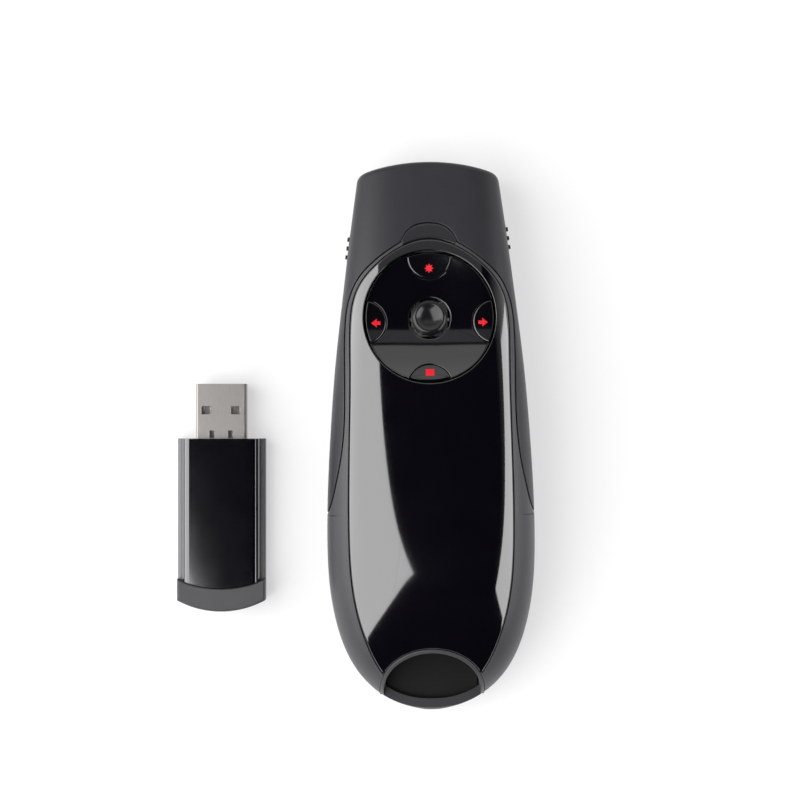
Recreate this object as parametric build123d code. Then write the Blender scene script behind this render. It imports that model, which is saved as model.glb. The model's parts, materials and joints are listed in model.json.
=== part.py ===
from build123d import *
import math
import os

# Wireless presentation clicker with its plug-in radio receiver.
# Millimetres, Z up. The underside rests on Z 0, the nose points to +Y and
# the centre of the clicker's outline is X 0, Y 0.

# Clicker body: one row per cross section, tail last.
# Columns: Y, half width, height of the widest line, top, bottom, upper fullness.
body_rows = [
    (70.0, 15.20, 11.3, 17.4, 5.3, 4.0),
    (61.4, 16.40, 11.4, 19.5, 3.1, 4.0),
    (48.0, 18.25, 11.5, 22.4, 0.4, 4.0),
    (31.4, 20.35, 11.5, 25.0, -0.7, 4.0),
    (16.3, 22.10, 11.5, 26.5, -0.8, 3.8),
    (1.3, 23.30, 11.5, 27.3, -0.8, 3.6),
    (-12.0, 24.05, 11.4, 27.3, -0.8, 3.4),
    (-24.0, 24.30, 11.2, 26.5, -0.8, 3.2),
    (-34.0, 23.90, 10.7, 25.0, -0.6, 3.0),
    (-43.0, 22.45, 9.9, 22.8, -0.3, 2.9),
    (-50.0, 20.20, 8.9, 20.2, 0.2, 2.8),
    (-55.0, 17.45, 7.9, 17.6, 0.9, 2.7),
    (-59.0, 13.90, 6.8, 14.4, 1.7, 2.6),
    (-61.8, 9.90, 5.9, 11.4, 2.6, 2.5),
    (-63.5, 5.90, 5.4, 8.6, 3.5, 2.4),
    (-64.4, 2.20, 5.1, 6.4, 4.4, 2.3),
]
lower_fullness = 3.4
tail_start = -25.0
tail_reach = 39.5
wide_half = 24.3
tall_up = 15.6
tall_down = 11.5
nose_tip = 64.5
nose_radius = 47.0
nose_edge = 1.2
nose_corner = 2.0
nose_top = 18.75
nose_fall = 14.0
nose_bottom = 3.95
nose_rise = 10.0
wall = 2.0
floor_top = 2.4
split = 8.0
split_gap = 0.08
seam = 0.25

# Gloss insert and the deck that carries it
insert_thickness = 1.7
insert_gap = 0.05
deck_thickness = 1.6
insert_clearance = 0.15
insert_half = [
    (0.0, 45.9),
    (3.1, 45.5),
    (6.1, 44.4),
    (9.2, 42.6),
    (12.1, 40.3),
    (14.6, 37.7),
    (16.4, 35.0),
    (17.6, 31.8),
    (18.2, 28.0),
    (18.4, 23.0),
    (18.4, 16.0),
    (18.6, 4.0),
    (18.9, -9.0),
    (19.0, -22.0),
    (18.6, -32.0),
    (17.3, -40.5),
    (15.2, -47.5),
    (12.6, -53.2),
    (9.0, -58.0),
    (4.6, -61.0),
    (0.0, -62.0),
]

# Edge between the nose cover and the rear frame, tail to nose
cover_edge_half = [
    (26.0, -19.6),
    (24.2, -17.2),
    (22.9, -13.9),
    (22.0, -10.2),
    (21.2, -6.4),
    (20.5, -2.2),
    (20.0, 3.0),
    (19.8, 12.0),
    (19.8, 21.0),
    (19.6, 26.5),
    (19.1, 30.6),
    (18.2, 33.7),
    (16.9, 36.4),
    (14.9, 39.0),
    (12.3, 41.4),
    (9.4, 43.6),
    (6.7, 45.3),
]
# The raised brow in front of the insert, which holds the status window
brow_half = [
    (6.7, 45.3),
    (5.7, 47.2),
    (4.3, 48.7),
    (2.4, 49.6),
    (0.0, 49.9),
]

# Finger cut-out and receiver bay in the tail
cutout_centre = -59.3
cutout_half_width = 11.4
cutout_reach = 9.4
cutout_rim = 0.9
bay_half = 10.7
bay_floor = 6.0
bay_roof = 14.5
bay_front = -10.2
sleeve_wall = 1.0
sleeve_tail = -53.5
sleeve_gap = 0.15
floor_tail = -62.3
tongue_round = 15.4

# Control dish, tilted with the top of the nose
dish_y = 28.0
dish_z = 24.15
dish_tilt = -6.7
dish_radius = 15.05
dish_sink = 2.3
dish_thickness = 1.2
well_radius = 15.35
button_centre = 15.05
button_radius = 5.0
button_slot_radius = 5.2
button_reach = 14.85
button_proud = 0.3
button_travel = 0.5
stem_place = 12.2
button_drop = 1.0
nub_hole = 4.75
nub_pivot = -4.6
board_top = -7.2
board_thickness = 1.0

# Batteries, size AAA
cell_radius = 5.25
cell_length = 44.5
cell_x = 5.55
cell_z = 7.95
tray_tail = -7.4
tray_nose = 41.4
tray_half = 11.2
lid_half = 12.1
lid_tail = -8.4
lid_nose = 41.6
lid_thickness = 1.4
lid_gap = 0.2
lid_swing = 0.5
lid_pin = 0.7

# Side sliders
slider_y = 45.5
slider_z = 11.5
slider_length = 6.4
slider_height = 3.0
slider_travel = 2.2
left_slider_y = 44.5
right_slider_y = 46.6

# Receiver
receiver_x = -49.4
receiver_y = 0.1
receiver_turn = -0.52
receiver_width = 20.8
receiver_length = 40.9
receiver_height = 8.0
receiver_end_radius = 21.8
plug_width = 12.0
plug_height = 4.5
plug_length = 13.0
plug_sheet = 0.3

os.makedirs("parts", exist_ok=True)


def save(name, shape):
    """One piece, or one group of alike pieces, becomes one file."""
    export_step(shape, f"parts/{name}.step")


def group(shapes):
    """Pieces of one kind that stay separate solids."""
    solids = []
    for shape in shapes:
        solids += shape.solids()
    return Compound(solids)


def section(y, half, belt, top, bottom, fullness):
    """Closed cross section: full shoulders above the belt, fuller flanks below."""
    angles = [0, 7, 15, 25, 37, 50, 63, 76, 90]
    angles += [180 - a for a in angles[-2::-1]]

    def side(height, power):
        points = []
        for a in angles:
            c = math.cos(math.radians(a))
            s = math.sin(math.radians(a))
            x = 0.0 if abs(c) < 1e-9 else math.copysign(abs(c) ** (2 / power), c)
            points.append((half * x, y, belt + height * abs(s) ** (2 / power)))
        points[-1] = (-half, y, belt)
        return points

    upper = side(top - belt, fullness)
    lower = side(bottom - belt, lower_fullness)
    lower.reverse()
    arch = Spline(*upper, tangents=((0, 0, 1), (0, 0, -1)))
    keel = Spline(*lower, tangents=((0, 0, -1), (0, 0, 1)))
    return Face(Wire([arch, keel]))


def hull(inset, front):
    """Rounded body, drawn in by a wall thickness on every side."""
    sections = []
    for y, half, belt, top, bottom, fullness in body_rows:
        if y < tail_start:
            y = tail_start + (y - tail_start) * (tail_reach - inset) / tail_reach
            half *= (wide_half - inset) / wide_half
            top = belt + (top - belt) * (tall_up - inset) / tall_up
            bottom = belt + (bottom - belt) * (tall_down - inset) / tall_down
        else:
            half -= inset
            top -= inset
            bottom += inset
        sections.append(section(y, half, belt, top, bottom, fullness))
    return loft(sections) & front


def mirrored(points):
    """Points of the right half followed by their mirror images."""
    left = [(-x, y) for x, y in reversed(points) if x > 1e-6]
    return list(points) + left


def sideways(points, distance):
    """Inner points of a path moved to its left, with mitred corners."""
    moved = []
    for before, here, after in zip(points, points[1:], points[2:]):
        normals = []
        for a, b in ((before, here), (here, after)):
            long = math.hypot(b[0] - a[0], b[1] - a[1])
            normals.append(((a[1] - b[1]) / long, (b[0] - a[0]) / long))
        (ax, ay), (bx, by) = normals
        reach = distance / (1 + ax * bx + ay * by)
        moved.append((here[0] + (ax + bx) * reach, here[1] + (ay + by) * reach))
    return moved


def insert_outline(grow):
    """Plan of the gloss insert, grown on every side."""
    padded = [(-3.1, 45.5), *insert_half, (-4.6, -61.0)]
    curve = Spline(*sideways(padded, grow), tangents=((1, 0), (-1, 0)))
    return make_face([curve, mirror(curve, Plane.YZ)])


def cover_outline(grow):
    """Plan of the nose cover with its wings, grown over its rear edge."""
    padded = [(27.8, -22.0), *cover_edge_half, *brow_half[1:], (-2.4, 49.6)]
    points = sideways(padded, grow)
    count = len(cover_edge_half)
    side = Spline(*points[:count])
    brow = Spline(*mirrored(points[count - 1 :]))
    x, y = points[0]
    rest = Polyline((x, y), (32, y), (32, 80), (-32, 80), (-32, y), (-x, y))
    return make_face([side, brow, mirror(side, Plane.YZ), rest])


def prism(face, low=0.0, high=40.0):
    """Upright block over a plan outline."""
    return Pos(0, 0, low) * extrude(face, high - low, dir=(0, 0, 1))


def slab(low, high):
    """Everything between two heights."""
    return Pos(0, 0, (low + high) / 2) * Box(120, 200, high - low)


def plan_block(x0, x1, y0, y1, z0, z1):
    """Upright box given by its limits."""
    centre = Pos((x0 + x1) / 2, (y0 + y1) / 2, (z0 + z1) / 2)
    return centre * Box(x1 - x0, y1 - y0, z1 - z0)


# Nose block: bowed front with rounded corners, rounded again at top and bottom
nose_flank = [(40, -90), (40, -10), (25.1, 1.4), (16.15, 66.0)]
nose_plan = Polygon(*nose_flank, *[(-x, y) for x, y in reversed(nose_flank)], align=None)
nose_plan &= Pos(0, nose_tip - nose_radius) * Circle(nose_radius) + Pos(0, -40) * Rectangle(94, 110)
nose_corners = nose_plan.vertices().filter_by(lambda v: v.Y > 58)
nose_plan = fillet(nose_corners, nose_corner)
nose_block = extrude(nose_plan, 40, dir=(0, 0, 1))
nose_roof = Pos(0, nose_tip, nose_top) * Rot(-nose_fall, 0, 0) * Pos(0, -80, 25) * Box(120, 220, 50)
nose_keel = Pos(0, nose_tip, nose_bottom) * Rot(nose_rise, 0, 0) * Pos(0, -80, -25) * Box(120, 220, 50)
nose_block = nose_block - nose_roof - nose_keel
nose_edges = nose_block.edges().filter_by(lambda e: e.center().Y > 60 and abs((e % 0.5).Z) < 0.5)
nose_block = fillet(nose_edges, nose_edge)

# Body skins
outer = hull(0, nose_block)
inner_radius = nose_radius - wall
inner_centre = nose_tip - nose_radius
inner_front = Pos(0, inner_centre, 0) * Cylinder(inner_radius, 80)
inner_front += Pos(0, inner_centre - 60, 0) * Box(2 * inner_radius, 120, 80)
inner = hull(wall, inner_front) & slab(floor_top, 40)
skin = outer - inner

# Plan outlines
insert_face = insert_outline(0)
cover_face = cover_outline(0)
frame_face = Rectangle(70, 180) - cover_outline(seam)


def rim(grow):
    """Plan of the finger cut-out, grown on every side."""
    arch = Pos(0, cutout_centre) * Ellipse(cutout_half_width + grow, cutout_reach + grow)
    return arch + Pos(0, cutout_centre - 10) * Rectangle(2 * (cutout_half_width + grow), 20)


cutout_face = rim(0)
rim_face = rim(cutout_rim)
well = Pos(0, dish_y, dish_z) * Rot(dish_tilt, 0, 0) * Cylinder(well_radius, 30)
bay = plan_block(-bay_half, bay_half, -80, bay_front, bay_floor, bay_roof)
bay_mouth = prism(cutout_face, bay_floor, 40)
sleeve_out = plan_block(
    -bay_half - sleeve_wall,
    bay_half + sleeve_wall,
    sleeve_tail,
    bay_front + sleeve_wall,
    bay_floor - sleeve_wall,
    bay_roof + sleeve_wall,
)
sleeve_room = plan_block(
    -bay_half - sleeve_wall - sleeve_gap,
    bay_half + sleeve_wall + sleeve_gap,
    sleeve_tail - sleeve_gap,
    bay_front + sleeve_wall + sleeve_gap,
    bay_floor - sleeve_wall - sleeve_gap,
    bay_roof + sleeve_wall + sleeve_gap,
)
tongue_face = Pos(0, -50) * Ellipse(tongue_round, -floor_tail - 50)
tongue_face &= Pos(0, -63) * Rectangle(2 * bay_half, 20)
tongue_room_face = Pos(0, -50) * Ellipse(tongue_round + sleeve_gap, -floor_tail - 50 + sleeve_gap)
tongue_room_face &= Pos(0, -63) * Rectangle(2 * (bay_half + sleeve_gap), 20)
bay_tongue = prism(tongue_face, bay_floor - sleeve_wall, bay_floor)
bay_tongue_room = prism(tongue_room_face, bay_floor - sleeve_wall - sleeve_gap, bay_floor + 0.1)

# Rear frame: matte ring round the insert, with the deck below it
deck_top = Pos(0, 0, -insert_thickness - insert_gap) * outer
deck_low = Pos(0, 0, -insert_thickness - insert_gap - deck_thickness) * outer
insert_low = Pos(0, 0, -insert_thickness) * outer
frame_prism = prism(frame_face, split + split_gap)
deck_prism = prism(frame_face & (Pos(0, -6) * Rectangle(44, 110)), 12)
deck = (deck_prism & deck_top) - deck_low
pocket = prism(insert_outline(insert_clearance) - rim_face, 12) - deck_top
window_face = Pos(0, 49.1) * Rectangle(16, 8) - cover_outline(seam) - insert_outline(0.35)
rear_frame = skin & frame_prism
rear_frame = rear_frame + deck
rear_frame = rear_frame - pocket - (prism(window_face, 12) - deck_top)
rear_frame = rear_frame - [well, sleeve_room, bay, bay_mouth]

# Gloss insert
panel_face = insert_face - rim(cutout_rim + insert_clearance)
gloss_panel = (prism(panel_face, 12) & outer) - insert_low - well

# Status window in the brow
status_window = (prism(window_face, 12) & outer) - insert_low

# Nose cover with its long side wings
nose_cover = skin & prism(cover_face, split + split_gap)

# Lower shell
lower_shell = skin & slab(-1, split - split_gap)


def rod(x, y, radius, low, high):
    """Upright round bar."""
    return Pos(x, y, (low + high) / 2) * Cylinder(radius, high - low)


# Local frame of the controls: origin in the middle of the dish rim
tilted = Pos(0, dish_y, dish_z) * Rot(dish_tilt, 0, 0)


def local_block(x0, x1, y0, y1, z0, z1):
    """Box given by its limits in the tilted frame."""
    return tilted * plan_block(x0, x1, y0, y1, z0, z1)


def local_rod(x, y, radius, low, high):
    """Round bar square to the dish, in the tilted frame."""
    return tilted * rod(x, y, radius, low, high)


# Case screws, heads sunk in the underside
case_screw_places = [(10.6, 54.3), (-10.6, 54.3), (16.6, -36.0), (-16.6, -36.0)]
head_radius = 2.1
head_height = 1.5
head_low = 3.4
shank_radius = 1.1
boss_radius = 2.9
nose_boss_top = 19.1
rear_boss_top = 19.0
boss_low = 3.0
lower_adds = [rod(x, y, boss_radius, boss_low, split) for x, y in case_screw_places]
recesses = [rod(x, y, head_radius + 0.3, -1, head_low + head_height) for x, y in case_screw_places]
shanks = [rod(x, y, shank_radius + 0.05, 0, split + 1) for x, y in case_screw_places]
threads = [rod(x, y, shank_radius + 0.02, split - 1, split + 6.5) for x, y in case_screw_places]
nose_cover += [rod(x, y, boss_radius, split, nose_boss_top) for x, y in case_screw_places if y > 0]
rear_frame += [rod(x, y, boss_radius, split, rear_boss_top) for x, y in case_screw_places if y < 0]
rear_frame -= [sleeve_room]


def screw(radius_head, tall_head, radius_shank, length):
    """Cross-recess screw standing head down, head underside at Z 0."""
    head = Pos(0, 0, tall_head / 2) * Cylinder(radius_head, tall_head)
    head = fillet(head.edges().group_by(Axis.Z)[0], 0.3)
    shank = Pos(0, 0, tall_head + length / 2) * Cylinder(radius_shank, length)
    tip = chamfer(shank.edges().group_by(Axis.Z)[-1], radius_shank * 0.45)
    slot = Box(radius_head * 1.3, 0.5, 1.2) + Box(0.5, radius_head * 1.3, 1.2)
    return head + tip - slot


shank_length = split + 5.5 - head_low - head_height
case_screws = group(
    [
        Pos(x, y, head_low) * screw(head_radius, head_height, shank_radius, shank_length)
        for x, y in case_screw_places
    ]
)

# Battery tray walls rise from the floor of the lower shell
tray_wall = 1.2
tray_top = 13.2
tray_out = plan_block(
    -tray_half - tray_wall, tray_half + tray_wall, tray_tail - tray_wall, tray_nose + tray_wall, 1.6, tray_top
)
tray_in = plan_block(-tray_half, tray_half, tray_tail, tray_nose, -1, tray_top + 1)
lower_adds.append(tray_out)
lid_room_half = lid_half + lid_gap
lid_room = plan_block(
    -lid_room_half, lid_room_half, lid_tail - lid_gap, lid_nose + lid_swing, -1, lid_thickness + 0.15
)
lower_cuts = [tray_in, lid_room, *recesses, *shanks]
hinge_z = 0.75
pin_places = (-7.5, 7.5)
knuckle_length = 5.0
for x in pin_places:
    half = knuckle_length / 2 + 0.2
    lower_cuts.append(plan_block(x - half, x + half, lid_nose, lid_nose + 1.9, -1, hinge_z + 0.95))

# Lid: plate with two round knuckles at the nose end and a sprung catch at the tail
lid = plan_block(-lid_half, lid_half, lid_tail, lid_nose, 0, lid_thickness)
lid = fillet(lid.edges().filter_by(Axis.Z), 1.5)
grip = group(
    [plan_block(-4.5, 4.5, lid_tail + 3 + 1.6 * i, lid_tail + 3.8 + 1.6 * i, -1, 0.35) for i in range(3)]
)
lid = lid - grip
for x in pin_places:
    arm = plan_block(x - 2.4, x + 2.4, lid_nose - 1.0, lid_nose + 1.0, 0.05, lid_thickness + 0.05)
    arm += Pos(x, lid_nose + 1.0, hinge_z) * Rot(0, 90, 0) * Cylinder(lid_pin, 4.8)
    lid += arm
lid += plan_block(-3.0, 3.0, lid_tail + 0.6, lid_tail + 1.7, lid_thickness - 0.1, lid_thickness + 0.9)
battery_cover = lid & outer
lower_cuts.append(plan_block(-3.4, 3.4, lid_tail - 0.2, tray_tail + 0.2, -1, 2.7))

# Cells, plus end first
cap_radius = 1.9
cap_height = 0.8
cell = Pos(0, 0, (cell_length - cap_height) / 2) * Cylinder(cell_radius, cell_length - cap_height)
cell = fillet(cell.edges(), 0.5)
cell += Pos(0, 0, cell_length - cap_height / 2) * Cylinder(cap_radius, cap_height)
contact_thickness = 0.35
left_minus = tray_nose - contact_thickness - cell_length
battery_left = Pos(-cell_x, left_minus, cell_z) * Rot(-90, 0, 0) * cell
right_minus = tray_tail + contact_thickness + cell_length
battery_right = Pos(cell_x, right_minus, cell_z) * Rot(90, 0, 0) * cell

# Contact plates at both ends of the tray and the coil springs on the minus plates
contact_places = [
    (-cell_x, tray_nose - contact_thickness, tray_nose),
    (cell_x, tray_nose - contact_thickness, tray_nose),
    (0.0, tray_tail, tray_tail + contact_thickness),
]
plates = []
for x, y0, y1 in contact_places:
    half = 4.6 if x else 10.4
    plates.append(plan_block(x - half, x + half, y0, y1, 3.6, 12.4))
battery_contacts = group(plates)


def coil(length):
    """Conical spring from its wide seat, axis along Z."""
    turns = 2.5
    wire = 0.36
    path = Helix(pitch=(length - 2 * wire) / turns, height=length - 2 * wire, radius=3.6, cone_angle=-16)
    start = Plane(origin=path @ 0, z_dir=path % 0)
    return Pos(0, 0, wire) * sweep(start * Circle(wire), path=path)


left_spring_length = left_minus - tray_tail - contact_thickness
right_spring_length = tray_nose - contact_thickness - right_minus
battery_springs = group(
    [
        Pos(-cell_x, tray_tail + contact_thickness, cell_z) * Rot(-90, 0, 0) * coil(left_spring_length),
        Pos(cell_x, tray_nose - contact_thickness, cell_z) * Rot(90, 0, 0) * coil(right_spring_length),
    ]
)

# Main board, parallel to the dish
board_low = board_top - board_thickness
main_board = local_block(-14.2, 14.2, -34.0, 12.0, board_low, board_top)
main_board += local_block(-12.6, 12.6, 11.9, 21.5, board_low, board_top)
board_screw_places = [(12.3, -31.5), (-12.3, -31.5), (7.4, 19.3), (-7.4, 19.3)]
board_screw_radius = 0.8
main_board -= [
    local_rod(x, y, board_screw_radius + 0.05, board_low - 1, board_top + 1) for x, y in board_screw_places
]
above_board = local_block(-30, 30, -60, 60, board_low, board_low + 40)
for x, y in board_screw_places:
    angle = math.radians(dish_tilt)
    world_y = dish_y + y * math.cos(angle) - board_low * math.sin(angle)
    lower_adds.append(rod(x, world_y, 2.0, 2.0, 30) - above_board)
    lower_cuts.append(local_rod(x, y, board_screw_radius + 0.02, board_low - 5.2, board_low + 1))
board_screws = group(
    [
        tilted * Pos(x, y, board_top + 1.1) * Rot(180, 0, 0) * screw(1.6, 1.1, board_screw_radius, 5.6)
        for x, y in board_screw_places
    ]
)

# Control dish
dish_slope = dish_sink / dish_radius**2


def dish_curve(drop, r0, r1):
    """Height of the dish face at two radii and halfway, lowered by a drop."""
    middle = (r0 + r1) / 2
    return [(r, dish_slope * r * r - dish_sink - drop) for r in (r0, middle, r1)]


def dish_band(top_drop, low_drop, r0, r1):
    """Ring between two copies of the dish face."""
    up = dish_curve(top_drop, r0, r1)
    down = dish_curve(low_drop, r0, r1)
    with BuildSketch(Plane.XZ) as profile:
        with BuildLine():
            ThreePointArc(up[0], up[1], up[2])
            Line(up[2], down[2])
            ThreePointArc(down[2], down[1], down[0])
            Line(down[0], up[0])
        make_face()
    return revolve(profile.sketch, Axis.Z)


button_angles = {"laser_button": 90, "back_button": 180, "blank_button": 270, "forward_button": 0}


def around(radius, angle):
    """Place on a circle round the dish centre."""
    a = math.radians(angle)
    return Pos(radius * math.cos(a), radius * math.sin(a), 0)


def key_place(radius, angle):
    """Place on the circle of the buttons, which sits a little nearer the tail."""
    return Pos(0, -button_drop, 0) * around(radius, angle)


control_dish = dish_band(0, dish_thickness, nub_hole, dish_radius)
for angle in button_angles.values():
    control_dish -= key_place(button_centre, angle) * Cylinder(button_slot_radius, 30)
for angle in (45, 135, 225, 315):
    leg = around(12.6, angle) * rod(0, 0, 1.3, board_top, -2.2)
    control_dish += leg
control_dish = tilted * control_dish

buttons = {}
for name, angle in button_angles.items():
    cap = dish_band(-button_proud, dish_thickness, 6.0, button_reach)
    cap = cap & key_place(button_centre, angle) * Cylinder(button_radius, 30)
    collar = dish_band(dish_thickness + 0.12, dish_thickness + 0.82, 6.0, button_reach)
    collar = collar & key_place(button_centre, angle) * Cylinder(button_radius + 0.8, 30)
    stem = key_place(stem_place, angle) * rod(0, 0, 1.5, board_top + 2.9, -2.0)
    buttons[name] = tilted * (cap + collar + stem)
    neck = key_place(stem_place, angle) * rod(0, 0, 2.0, -3.6, -2.2)
    buttons[name] += tilted * (neck & dish_band(0.4, dish_thickness + 0.4, 6.0, button_reach))

# Dome switches under the buttons
tact_body = plan_block(-2.2, 2.2, -2.2, 2.2, board_top, board_top + 1.6)
tact_body += rod(0, 0, 1.1, board_top + 1.5, board_top + 2.3)
tact_switches = group([tilted * (key_place(stem_place, a) * tact_body) for a in button_angles.values()])

# Pointer joystick: base on the board, yoke turning on X, stem turning on Y in the yoke
stick_base = plan_block(-5.6, 5.6, -5.2, 5.2, board_top, board_top + 0.6)
for side in (-1, 1):
    cheek = plan_block(-0.45, 0.45, -1.3, 1.3, board_top + 0.5, nub_pivot + 0.9)
    cheek = Pos(side * 5.0, 0, 0) * cheek
    stick_base += cheek
stick_base -= Pos(0, 0, nub_pivot) * Rot(0, 90, 0) * Cylinder(0.5, 14)
joystick_base = tilted * stick_base
yoke = plan_block(-4.2, 4.2, -4.0, 4.0, nub_pivot - 0.5, nub_pivot + 0.5)
yoke -= plan_block(-3.1, 3.1, -2.9, 2.9, -20, 20)
for side in (-1, 1):
    yoke += Pos(side * 4.75, 0, nub_pivot) * Rot(0, 90, 0) * Cylinder(0.42, 1.5)
yoke -= Pos(0, 0, nub_pivot) * Rot(90, 0, 0) * Cylinder(0.5, 14)
joystick_yoke = tilted * yoke
stick = Pos(0, 0, nub_pivot) * Rot(90, 0, 0) * Cylinder(0.42, 7.4)
stick += plan_block(-1.4, 1.4, -1.4, 1.4, nub_pivot - 0.8, nub_pivot + 0.8)
stick += rod(0, 0, 1.2, nub_pivot, -2.4)
joystick_stem = tilted * stick
nub = rod(0, 0, 4.05, -3.1, -0.3)
nub = fillet(nub.edges().group_by(Axis.Z)[-1], 0.9)
nub = chamfer(nub.edges().group_by(Axis.Z)[0], 0.4)
nub = nub - Pos(0, 0, 3.65) * Sphere(5.0) - rod(0, 0, 1.2, -10, -2.4)
joystick_cap = tilted * nub

# Laser module behind its window in the nose
laser_z = 11.6
laser_radius = 3.1
laser_bore = 1.8
window_radius = 2.4
barrel = Pos(0, 56.2, laser_z) * Rot(90, 0, 0) * Cylinder(laser_radius, 12)
barrel -= Pos(0, 59.2, laser_z) * Rot(90, 0, 0) * Cylinder(laser_bore, 10)
laser_barrel = barrel
laser_lens = Pos(0, 59.6, laser_z) * Rot(90, 0, 0) * Cylinder(laser_bore, 1.4)
laser_diode = Pos(0, 54.9, laser_z) * Rot(90, 0, 0) * Cylinder(laser_bore, 1.4)
for y0, y1 in ((51.6, 53.2), (58.6, 60.2)):
    lower_adds.append(plan_block(-3.6, 3.6, y0, y1, 3.6, laser_z - 1.2))
lower_cuts.append(Pos(0, 56.2, laser_z) * Rot(90, 0, 0) * Cylinder(laser_radius + 0.05, 9.9))
lower_shell += lower_adds
lower_shell -= [*lower_cuts, sleeve_room, bay, bay_tongue_room]
hole = Pos(0, 64, laser_z) * Rot(90, 0, 0) * Cylinder(window_radius, 8)
sight = Pos(0, 64, laser_z) * Rot(90, 0, 0) * Cylinder(window_radius - 0.8, 8)
window_seat = Pos(0, 65.2, laser_z) * Rot(90, 0, 0) * Cylinder(window_radius, 3.4)
laser_window = plan_block(-5, 5, 63.5, 64.1, laser_z - 5, laser_z + 5) & hole

# Side sliders in slots of the nose cover. On the flank X points outward and
# Y runs along the flank toward the nose.
row_a = body_rows[3]
row_b = body_rows[2]
flank_share = (slider_y - row_a[0]) / (row_b[0] - row_a[0])
flank_half = row_a[1] + flank_share * (row_b[1] - row_a[1]) + 0.02
flank_lean = math.degrees(math.atan((row_a[1] - row_b[1]) / (row_b[0] - row_a[0])))
flank = Pos(flank_half, slider_y, slider_z) * Rot(0, 0, flank_lean)


def slider_knob():
    """Ribbed knob: pad in the slot, flange behind the wall, fork to the switch."""
    pad = plan_block(-2.2, 0.05, -slider_length / 2, slider_length / 2, -slider_height / 2, slider_height / 2)
    for i in (-1, 0, 1):
        pad += plan_block(-0.2, 0.5, i * 2.1 - 0.45, i * 2.1 + 0.45, -slider_height / 2, slider_height / 2)
    pad += plan_block(-3.0, -2.15, -slider_length / 2 - 1.2, slider_length / 2 + 1.2, -2.1, 2.1)
    pad += plan_block(-5.3, -2.9, -0.7, 0.7, -0.9, 0.9)
    return pad


slot_half = (slider_length + slider_travel + 0.4) / 2
slot_rise = slider_height / 2 + 0.15
slot = plan_block(-6, 6, -slot_half, slot_half, -slot_rise, slot_rise)
right_slot = flank * slot
nose_cover -= [*threads, window_seat, sight, right_slot, mirror(right_slot, Plane.YZ)]
rear_frame -= threads
shift = right_slider_y - slider_y
mode_switch = flank * Pos(0, shift, 0) * slider_knob()
left_shift = left_slider_y - slider_y
power_switch = mirror(flank * Pos(0, left_shift, 0) * slider_knob(), Plane.YZ)
switch_box = local_block(10.6, 13.0, 16.3, 21.3, board_low - 3.4, board_low)
slide_switches = group([switch_box, mirror(switch_box, Plane.YZ)])

# Radio parts on the board
radio_chip = local_block(-3.5, 3.5, -23.3, -16.3, board_top, board_top + 0.9)
crystal = local_block(5.6, 9.0, -20.8, -17.4, board_top, board_top + 1.0)
antenna = local_block(-9.5, 9.5, -33.2, -32.0, board_top, board_top + 0.2)
antenna += local_block(-9.5, -8.5, -33.2, -28.0, board_top, board_top + 0.2)
antenna += local_block(2.0, 3.0, -33.2, -28.0, board_top, board_top + 0.2)
status_light = local_block(-1.0, 1.0, 20.0, 21.0, board_top, board_top + 1.2)

# Receiver bay: thin tube open at the tail
receiver_bay = sleeve_out - bay - prism(cutout_face, bay_floor + 1, 40)
receiver_bay += bay_tongue
slit = plan_block(bay_half - 1, bay_half + 3, -34, -22, bay_floor + 3, bay_floor + 5)
receiver_bay -= slit
catch_arm = plan_block(bay_half + 0.05, bay_half + 0.35, -33.8, -22.2, bay_floor + 3.1, bay_floor + 4.9)
receiver_catch = catch_arm

# Receiver, lying beside the clicker, plug toward +Y
lying = Pos(receiver_x, receiver_y, 0) * Rot(0, 0, receiver_turn)
half = receiver_width / 2
end_circle = Pos(0, -receiver_length + receiver_end_radius) * Circle(receiver_end_radius)
body_plan = Pos(0, -receiver_length / 2) * Rectangle(receiver_width, receiver_length) & (
    end_circle + Pos(0, -receiver_end_radius + 8) * Rectangle(60, 2 * receiver_end_radius + 4)
)
smile_depth = 2.2
smile_half = half
smile_low = -35.3
smile_radius = (smile_half**2 + smile_depth**2) / (2 * smile_depth)
smile_disc = Pos(0, smile_low + smile_radius) * Circle(smile_radius)
front_plan = body_plan & (smile_disc + Pos(0, -8) * Rectangle(60, 40))
cap_plan = body_plan - (Pos(0, smile_low - 0.12 + smile_radius) * Circle(smile_radius)) - (
    Pos(0, -8.12) * Rectangle(60, 40)
)
base_top = 5.0
shell_half = half - 1.3


def rounded_top(shape, radius):
    """Rounds the long upper edges of a block."""
    edges = shape.edges().filter_by(Axis.Y).group_by(Axis.Z)[-1]
    return fillet(edges, radius)


base_block = prism(front_plan, 0, base_top)
base_block = fillet(base_block.edges().filter_by(Axis.Y), 0.8)
shell_plan = front_plan & (Pos(0, -20) * Rectangle(2 * shell_half, 60))
shell_block = prism(shell_plan, base_top, receiver_height)
shell_block = rounded_top(shell_block, 1.6)
cap_block = prism(cap_plan, 0.4, receiver_height - 0.5)
cap_edges = cap_block.edges().group_by(Axis.Z)
cap_block = fillet(cap_edges[-1] + cap_edges[0], 0.5)
core_low = 1.2
core_top = 6.8
core_half = 8.5
core = plan_block(-core_half, core_half, -34.0, -1.2, core_low, core_top)
plug_z = 4.0
plug_hole = plan_block(
    -plug_width / 2, plug_width / 2, -3, 1, plug_z - plug_height / 2, plug_z + plug_height / 2
)
cap_tongue = plan_block(-6.0, 6.0, -37.2, -34.4, 2.4, 5.6)
tongue_room = plan_block(-6.1, 6.1, -38.0, -33.9, 2.3, 5.7)
receiver_base = lying * (base_block - core - plug_hole - tongue_room)
receiver_shell = lying * (shell_block - core - plug_hole - tongue_room)
receiver_end_cap = lying * (cap_block + (cap_tongue & prism(body_plan, 0, 9)))

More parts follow.
